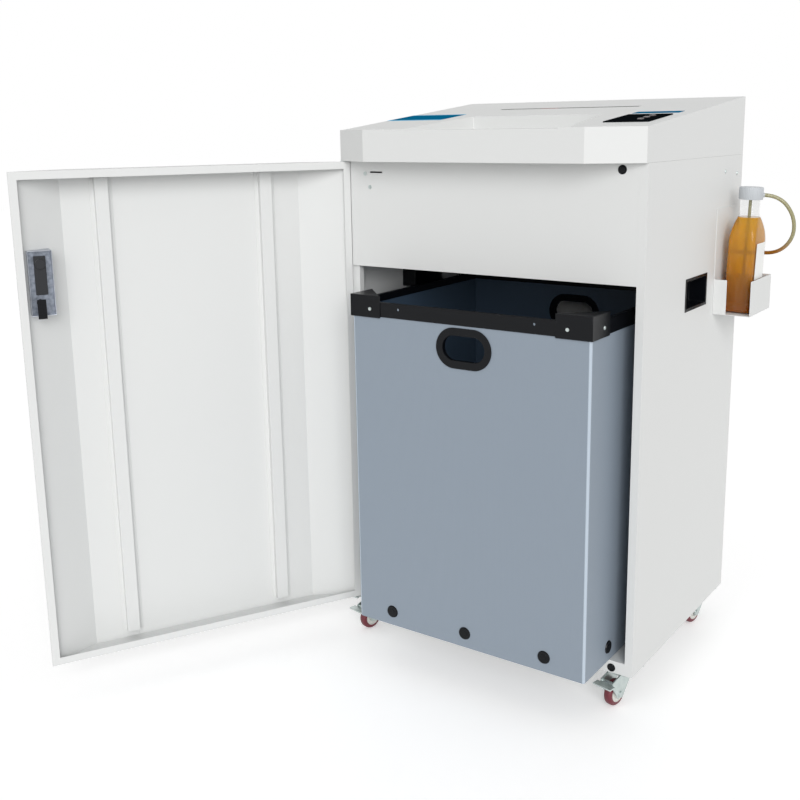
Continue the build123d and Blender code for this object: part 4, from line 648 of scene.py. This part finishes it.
def head_tree(finish):
    """Node group that sets a low tapered head with a raised middle on every point."""
    tree = bpy.data.node_groups.new("round_heads", "GeometryNodeTree")
    sockets = tree.interface
    sockets.new_socket("Geometry", in_out="INPUT", socket_type="NodeSocketGeometry")
    for label in HEAD_INPUTS:
        sockets.new_socket(label, in_out="INPUT", socket_type="NodeSocketFloat")
    sockets.new_socket("Geometry", in_out="OUTPUT", socket_type="NodeSocketGeometry")
    entry = add(tree, "NodeGroupInput")
    head = add(tree, "GeometryNodeMeshCone", {"Radius Bottom": entry.outputs["Head radius"],
                                              "Depth": entry.outputs["Head height"], "Vertices": 40})
    head_top = add(tree, "ShaderNodeMath", {0: entry.outputs["Head radius"], 1: HEAD_TAPER},
                   operation="MULTIPLY")
    tree.links.new(head_top.outputs["Value"], head.inputs["Radius Top"])
    middle_high = add(tree, "ShaderNodeMath", {0: entry.outputs["Head height"], 1: MIDDLE_RISE},
                      operation="MULTIPLY")
    middle = add(tree, "GeometryNodeMeshCone", {"Radius Bottom": entry.outputs["Middle radius"],
                                                "Depth": middle_high.outputs["Value"], "Vertices": 32})
    middle_top = add(tree, "ShaderNodeMath", {0: entry.outputs["Middle radius"], 1: MIDDLE_TAPER},
                     operation="MULTIPLY")
    tree.links.new(middle_top.outputs["Value"], middle.inputs["Radius Top"])
    both = add(tree, "GeometryNodeJoinGeometry")
    tree.links.new(head.outputs["Mesh"], both.inputs["Geometry"])
    tree.links.new(middle.outputs["Mesh"], both.inputs["Geometry"])
    facing = add(tree, "GeometryNodeInputNamedAttribute", {"Name": "facing"}, data_type="FLOAT_VECTOR")
    turn = add(tree, "FunctionNodeAlignRotationToVector", {"Vector": facing.outputs["Attribute"]},
               axis="Z")
    copies = add(tree, "GeometryNodeInstanceOnPoints", {"Points": entry.outputs["Geometry"],
                                                        "Instance": both.outputs["Geometry"],
                                                        "Rotation": turn.outputs["Rotation"]})
    real = add(tree, "GeometryNodeRealizeInstances", {"Geometry": copies.outputs["Instances"]})
    coat = add(tree, "GeometryNodeSetMaterial", {"Geometry": real.outputs["Geometry"], "Material": finish})
    add(tree, "NodeGroupOutput", {"Geometry": coat.outputs["Geometry"]})
    return tree


def set_heads(name, seats, head, finish, body, node):
    """One mesh of heads of one size at the seats, each a (place, outward direction) pair in mm."""
    points = bpy.data.meshes.new(name + "_seats")
    points.from_pydata([Vector(place) * MM for place, _ in seats], [], [])
    facing = points.attributes.new("facing", "FLOAT_VECTOR", "POINT")
    for item, (_, outward) in zip(facing.data, seats):
        item.vector = outward
    holder = placed(name + "_seats", points)
    tree = head_tree(finish)
    maker = holder.modifiers.new("heads", "NODES")
    maker.node_group = tree
    sizes = dict(zip(HEAD_INPUTS, head))
    for item in tree.interface.items_tree:
        if item.in_out == "INPUT" and item.name in sizes:
            maker[item.identifier] = sizes[item.name] * MM
    done = holder.evaluated_get(bpy.context.evaluated_depsgraph_get())
    mesh = bpy.data.meshes.new_from_object(done)
    bpy.data.objects.remove(holder)
    shade(mesh)
    piece = new_piece(name, mesh, finish, body)
    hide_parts(node)
    return piece


def around_bin(inset, xs, ys, z):
    """Seats on the four faces of the bin, at one height."""
    left, right, front, back = bin_walls(inset)
    seats = []
    for x in xs:
        seats.append(((BIN_CENTRE_X + x, front, z), (0, -1, 0)))
        seats.append(((BIN_CENTRE_X + x, back, z), (0, 1, 0)))
    for y in ys:
        seats.append(((left, BIN_FRONT_Y + y, z), (-1, 0, 0)))
        seats.append(((right, BIN_FRONT_Y + y, z), (1, 0, 0)))
    return seats


# the shredder: every node gets its finish, and folded and moulded ones their rounded edges

pieces = {}
for finish, nodes in NODE_MATERIALS.items():
    for node in nodes:
        mesh = frame["nodes"][node].data
        mesh.materials.clear()
        mesh.materials.append(finish)
        if node in SOFTENED:
            pieces[node] = soften(node, finish)

# bin board, with painted shade inside and a painted highlight at its folds
left, right, front, back = bin_walls()
repaint(pieces["bin_board"], BOARD_INSIDE_SHADE,
        lambda at, normal: left + INSIDE_FROM < at.x < right - INSIDE_FROM
        and front + INSIDE_FROM < at.y < back - INSIDE_FROM)
# painted highlight along the rounded upright folds
repaint(pieces["bin_board"], FOLD,
        lambda at, normal: min(at.x - left, right - at.x) < FOLD_ROUND
        and min(at.y - front, back - at.y) < FOLD_ROUND and abs(normal.z) < UPRIGHT_UNDER)

# the red paper sensor in the throat and the lock works in their tray are the low solids of their pieces
repaint_loose(pieces["feed_throat"], SENSOR, THROAT_SENSOR_UNDER)
# the lock tray's floor, set back in its recess, is given painted shade
inward = Vector((math.sin(math.radians(DOOR_OPEN)), math.cos(math.radians(DOOR_OPEN)), 0))
rim = max(v.co.dot(inward) for v in pieces["door_lock_case"].data.vertices) / MM
repaint(pieces["door_lock_case"], TRAY_FLOOR_SHADE,
        lambda at, normal: normal.dot(inward) > LOOKS_BEYOND and at.dot(inward) < rim - LOCK_FLOOR_IN)
repaint_loose(pieces["door_lock_case"], BLACKENED, LOCK_WORKS_UNDER)

# rivet and screw heads
push_seats = around_bin(BOARD_INSET, PUSH_RIVETS_FRONT, PUSH_RIVETS_SIDE, PUSH_RIVET_Z)
set_heads("bin_push_rivet_heads", push_seats, PUSH_RIVET_HEAD, BLACK, "bin", "bin_push_rivets")
corner = BIN_WIDTH / 2 - BIN_RIVET_IN
bracket_seats = around_bin(0.0, (-corner, corner), (BIN_RIVET_IN, BIN_DEPTH - BIN_RIVET_IN), BIN_RIVET_Z)
set_heads("bin_bracket_rivet_heads", bracket_seats, BIN_RIVET_HEAD, ZINC, "bin", "bin_rivets")
screw_seats = [((x, 0.0, z), (0, -1, 0)) for x, z in FRONT_SCREWS]
for y, z in SIDE_SCREWS:
    screw_seats.append(((CABINET_HALF, y, z), (1, 0, 0)))
    screw_seats.append(((-CABINET_HALF, y, z), (-1, 0, 0)))
set_heads("panel_screw_heads", screw_seats, PANEL_SCREW_HEAD, ZINC, "cabinet", "panel_screws")

# bottle, oil, cap and label
outer_rings = [rounded_ring(*ring) for ring in BOTTLE_RINGS]
inner_rings = inset_rings(BOTTLE_RINGS, BOTTLE_WALL, BOTTLE_RINGS[-1][3])
bottle = skinned("oil_bottle_blown", outer_rings, BOTTLE, "cabinet", inner_rings)
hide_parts("oil_bottle")
oil_rings = inset_rings(BOTTLE_RINGS, BOTTLE_WALL + OIL_GAP, OIL_LEVEL)
oil = skinned("oil_in_bottle", oil_rings, OIL, "cabinet")
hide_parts("bottle_oil")
CAP_PROFILE = ((0.0, 244.0), (21.5, 244.0), (22.6, 243.4), (22.95, 242.2), (22.95, 221.0), (22.6, 220.2),
               (19.4, 220.2), (19.4, 240.8), (0.0, 240.8))
cap = lathe("screw_cap", CAP_PROFILE, bottle_place(), CAP_GREY, "cabinet", steps=240, ribs=40, rib_mm=0.5)
barb_place = (barb_side() @ Matrix.Translation(Vector((0, 0, BARB_Z)) * MM)
              @ Matrix.Rotation(math.radians(90), 4, "Y"))
BARB_PROFILE = ((0.0, 22.0), (4.6, 22.0), (4.6, 25.0), (2.4, 25.6), (2.4, 31.0), (0.0, 31.0))
barb = lathe("cap_hose_barb", BARB_PROFILE, barb_place, CAP_GREY, "cabinet", steps=32)
DIP_PROFILE = ((0.0, 12.0), (3.0, 12.0), (3.0, 240.5), (0.0, 240.5))
dip = lathe("dip_tube", DIP_PROFILE, bottle_place(), VINYL, "cabinet", steps=24)
for piece in (cap, barb, dip):
    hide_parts("bottle_cap")


def bottle_label():
    """Bare paper label on the outer face of the bottle, a hair proud of the wall."""
    form = bmesh.new()
    wall = max(ring[0] for ring in BOTTLE_RINGS)
    for x in (wall + LABEL_PROUD, wall + LABEL_PROUD / 3):
        for y in (-LABEL_HALF, LABEL_HALF):
            for z in LABEL_HEIGHTS:
                form.verts.new(Vector((x, y, z)) * MM)
    bmesh.ops.convex_hull(form, input=form.verts)
    bmesh.ops.transform(form, matrix=bottle_place(), verts=form.verts)
    return new_piece("bottle_label", mesh_of(form, "bottle_label"), LABEL, "cabinet")


bottle_label()


def oil_hose():
    """Vinyl hose from the cap's barb round to the ring in the side panel."""
    start = barb_side() @ (Vector((CAP_R + HOSE_OFF_CAP, 0, BARB_Z)) * MM)
    first = barb_side() @ (Vector((HOSE_FIRST, 0, BARB_Z)) * MM)
    route = [start, first] + [Vector(p) * MM for p in HOSE_ROUTE]
    curve = bpy.data.curves.new("oil_hose_tube", "CURVE")
    curve.dimensions = "3D"
    curve.bevel_depth = HOSE_D / 2 * MM
    curve.bevel_resolution = 6
    curve.use_fill_caps = True
    spline = curve.splines.new("NURBS")
    spline.points.add(len(route) - 1)
    for point, place in zip(spline.points, route):
        point.co = (*place, 1.0)
    spline.order_u = 3
    spline.use_endpoint_u = True
    spline.resolution_u = 16
    curve.materials.append(VINYL)
    hose = placed("oil_hose_tube", curve)
    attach(hose, "cabinet")
    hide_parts("oil_hose")


oil_hose()

# caster wheels: tread and white centre
TREAD_PROFILE = ((17.0, -8.0), (20.0, -8.0), (22.4, -7.4), (24.2, -5.8), (25.0, -3.6), (25.0, 3.6),
                 (24.2, 5.8), (22.4, 7.4), (20.0, 8.0), (17.0, 8.0))
CENTRE_PROFILE = ((4.05, -10.0), (9.0, -10.0), (9.8, -9.2), (10.4, -6.0), (15.4, -6.0), (16.2, -8.2),
                  (17.0, -8.2), (17.0, 8.2), (16.2, 8.2), (15.4, 6.0), (10.4, 6.0), (9.8, 9.2), (9.0, 10.0),
                  (4.05, 10.0))
for name, (side, row, angle) in CASTERS.items():
    place = (Matrix.Translation(Vector((side * CASTER_X, CASTER_Y[row], 0)) * MM)
             @ Matrix.Rotation(math.radians(angle), 4, "Z")
             @ Matrix.Translation(Vector((CASTER_TRAIL, 0, WHEEL_R)) * MM)
             @ Matrix.Rotation(math.radians(90), 4, "X"))
    tread = lathe("wheel_tread_" + name, TREAD_PROFILE, place, TREAD, "wheel_" + name)
    centre = lathe("wheel_centre_" + name, CENTRE_PROFILE, place, NYLON, "wheel_" + name)
    for piece in (tread, centre):
        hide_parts("caster_wheel_" + name)


# floor, light and camera

def stage_floor():
    """Pale floor that shows near white and keeps the soft shadow."""
    mesh = bpy.data.meshes.new("floor")
    reach = FLOOR_REACH_M
    mesh.from_pydata([(-reach, -reach, 0), (reach, -reach, 0), (reach, reach, 0), (-reach, reach, 0)], [],
                     [(0, 1, 2, 3)])
    finish, tree, shader = material("pale_floor", "#F4F4F4", 0.9)
    shader.inputs["Specular IOR Level"].default_value = 0.0
    lift = add(tree, "ShaderNodeMath", {0: seen_directly(tree), 1: FLOOR_LIFT}, operation="MULTIPLY")
    shader.inputs["Emission Color"].default_value = (1, 1, 1, 1)
    tree.links.new(lift.outputs["Value"], shader.inputs["Emission Strength"])
    floor = placed("floor", mesh)
    mesh.materials.append(finish)


def studio_world():
    """Even pale surroundings: white where seen, softer where they light the object."""
    world = bpy.data.worlds.new("studio")
    world.use_nodes = True
    bpy.context.scene.world = world
    tree = world.node_tree
    tree.nodes.clear()
    strength = add(tree, "ShaderNodeMapRange", {"Value": seen_directly(tree), "To Min": AMBIENT,
                                                "To Max": 1.0})
    sky = add(tree, "ShaderNodeBackground", {"Color": (1, 1, 1, 1),
                                             "Strength": strength.outputs["Result"]})
    add(tree, "ShaderNodeOutputWorld", {"Surface": sky.outputs["Background"]})


def key_lamp():
    """One broad soft key from the front right."""
    lamp = bpy.data.lights.new("key", "SUN")
    lamp.energy = KEY_STRENGTH
    lamp.angle = math.radians(KEY_SPREAD)
    holder = placed("key", lamp)
    holder.rotation_euler = Vector(KEY_TOWARDS).to_track_quat("-Z", "Y").to_euler()


def photo_camera():
    """Camera at the photograph's place and angle."""
    lens = bpy.data.cameras.new("photo_view")
    lens.sensor_width = SENSOR_MM
    lens.lens = FOCAL_PX / IMAGE_PX * SENSOR_MM
    lens.shift_x = (IMAGE_PX / 2 - CENTRE_PX[0]) / IMAGE_PX
    lens.shift_y = (CENTRE_PX[1] - IMAGE_PX / 2) / IMAGE_PX
    lens.clip_end = VIEW_REACH_M
    camera = placed("photo_view", lens)
    camera.location = CAMERA_PLACE
    camera.rotation_euler = Euler([math.radians(a) for a in CAMERA_TURN], "XYZ")
    bpy.context.scene.camera = camera


stage_floor()
studio_world()
key_lamp()
photo_camera()
bpy.context.scene.view_settings.view_transform = "Standard"
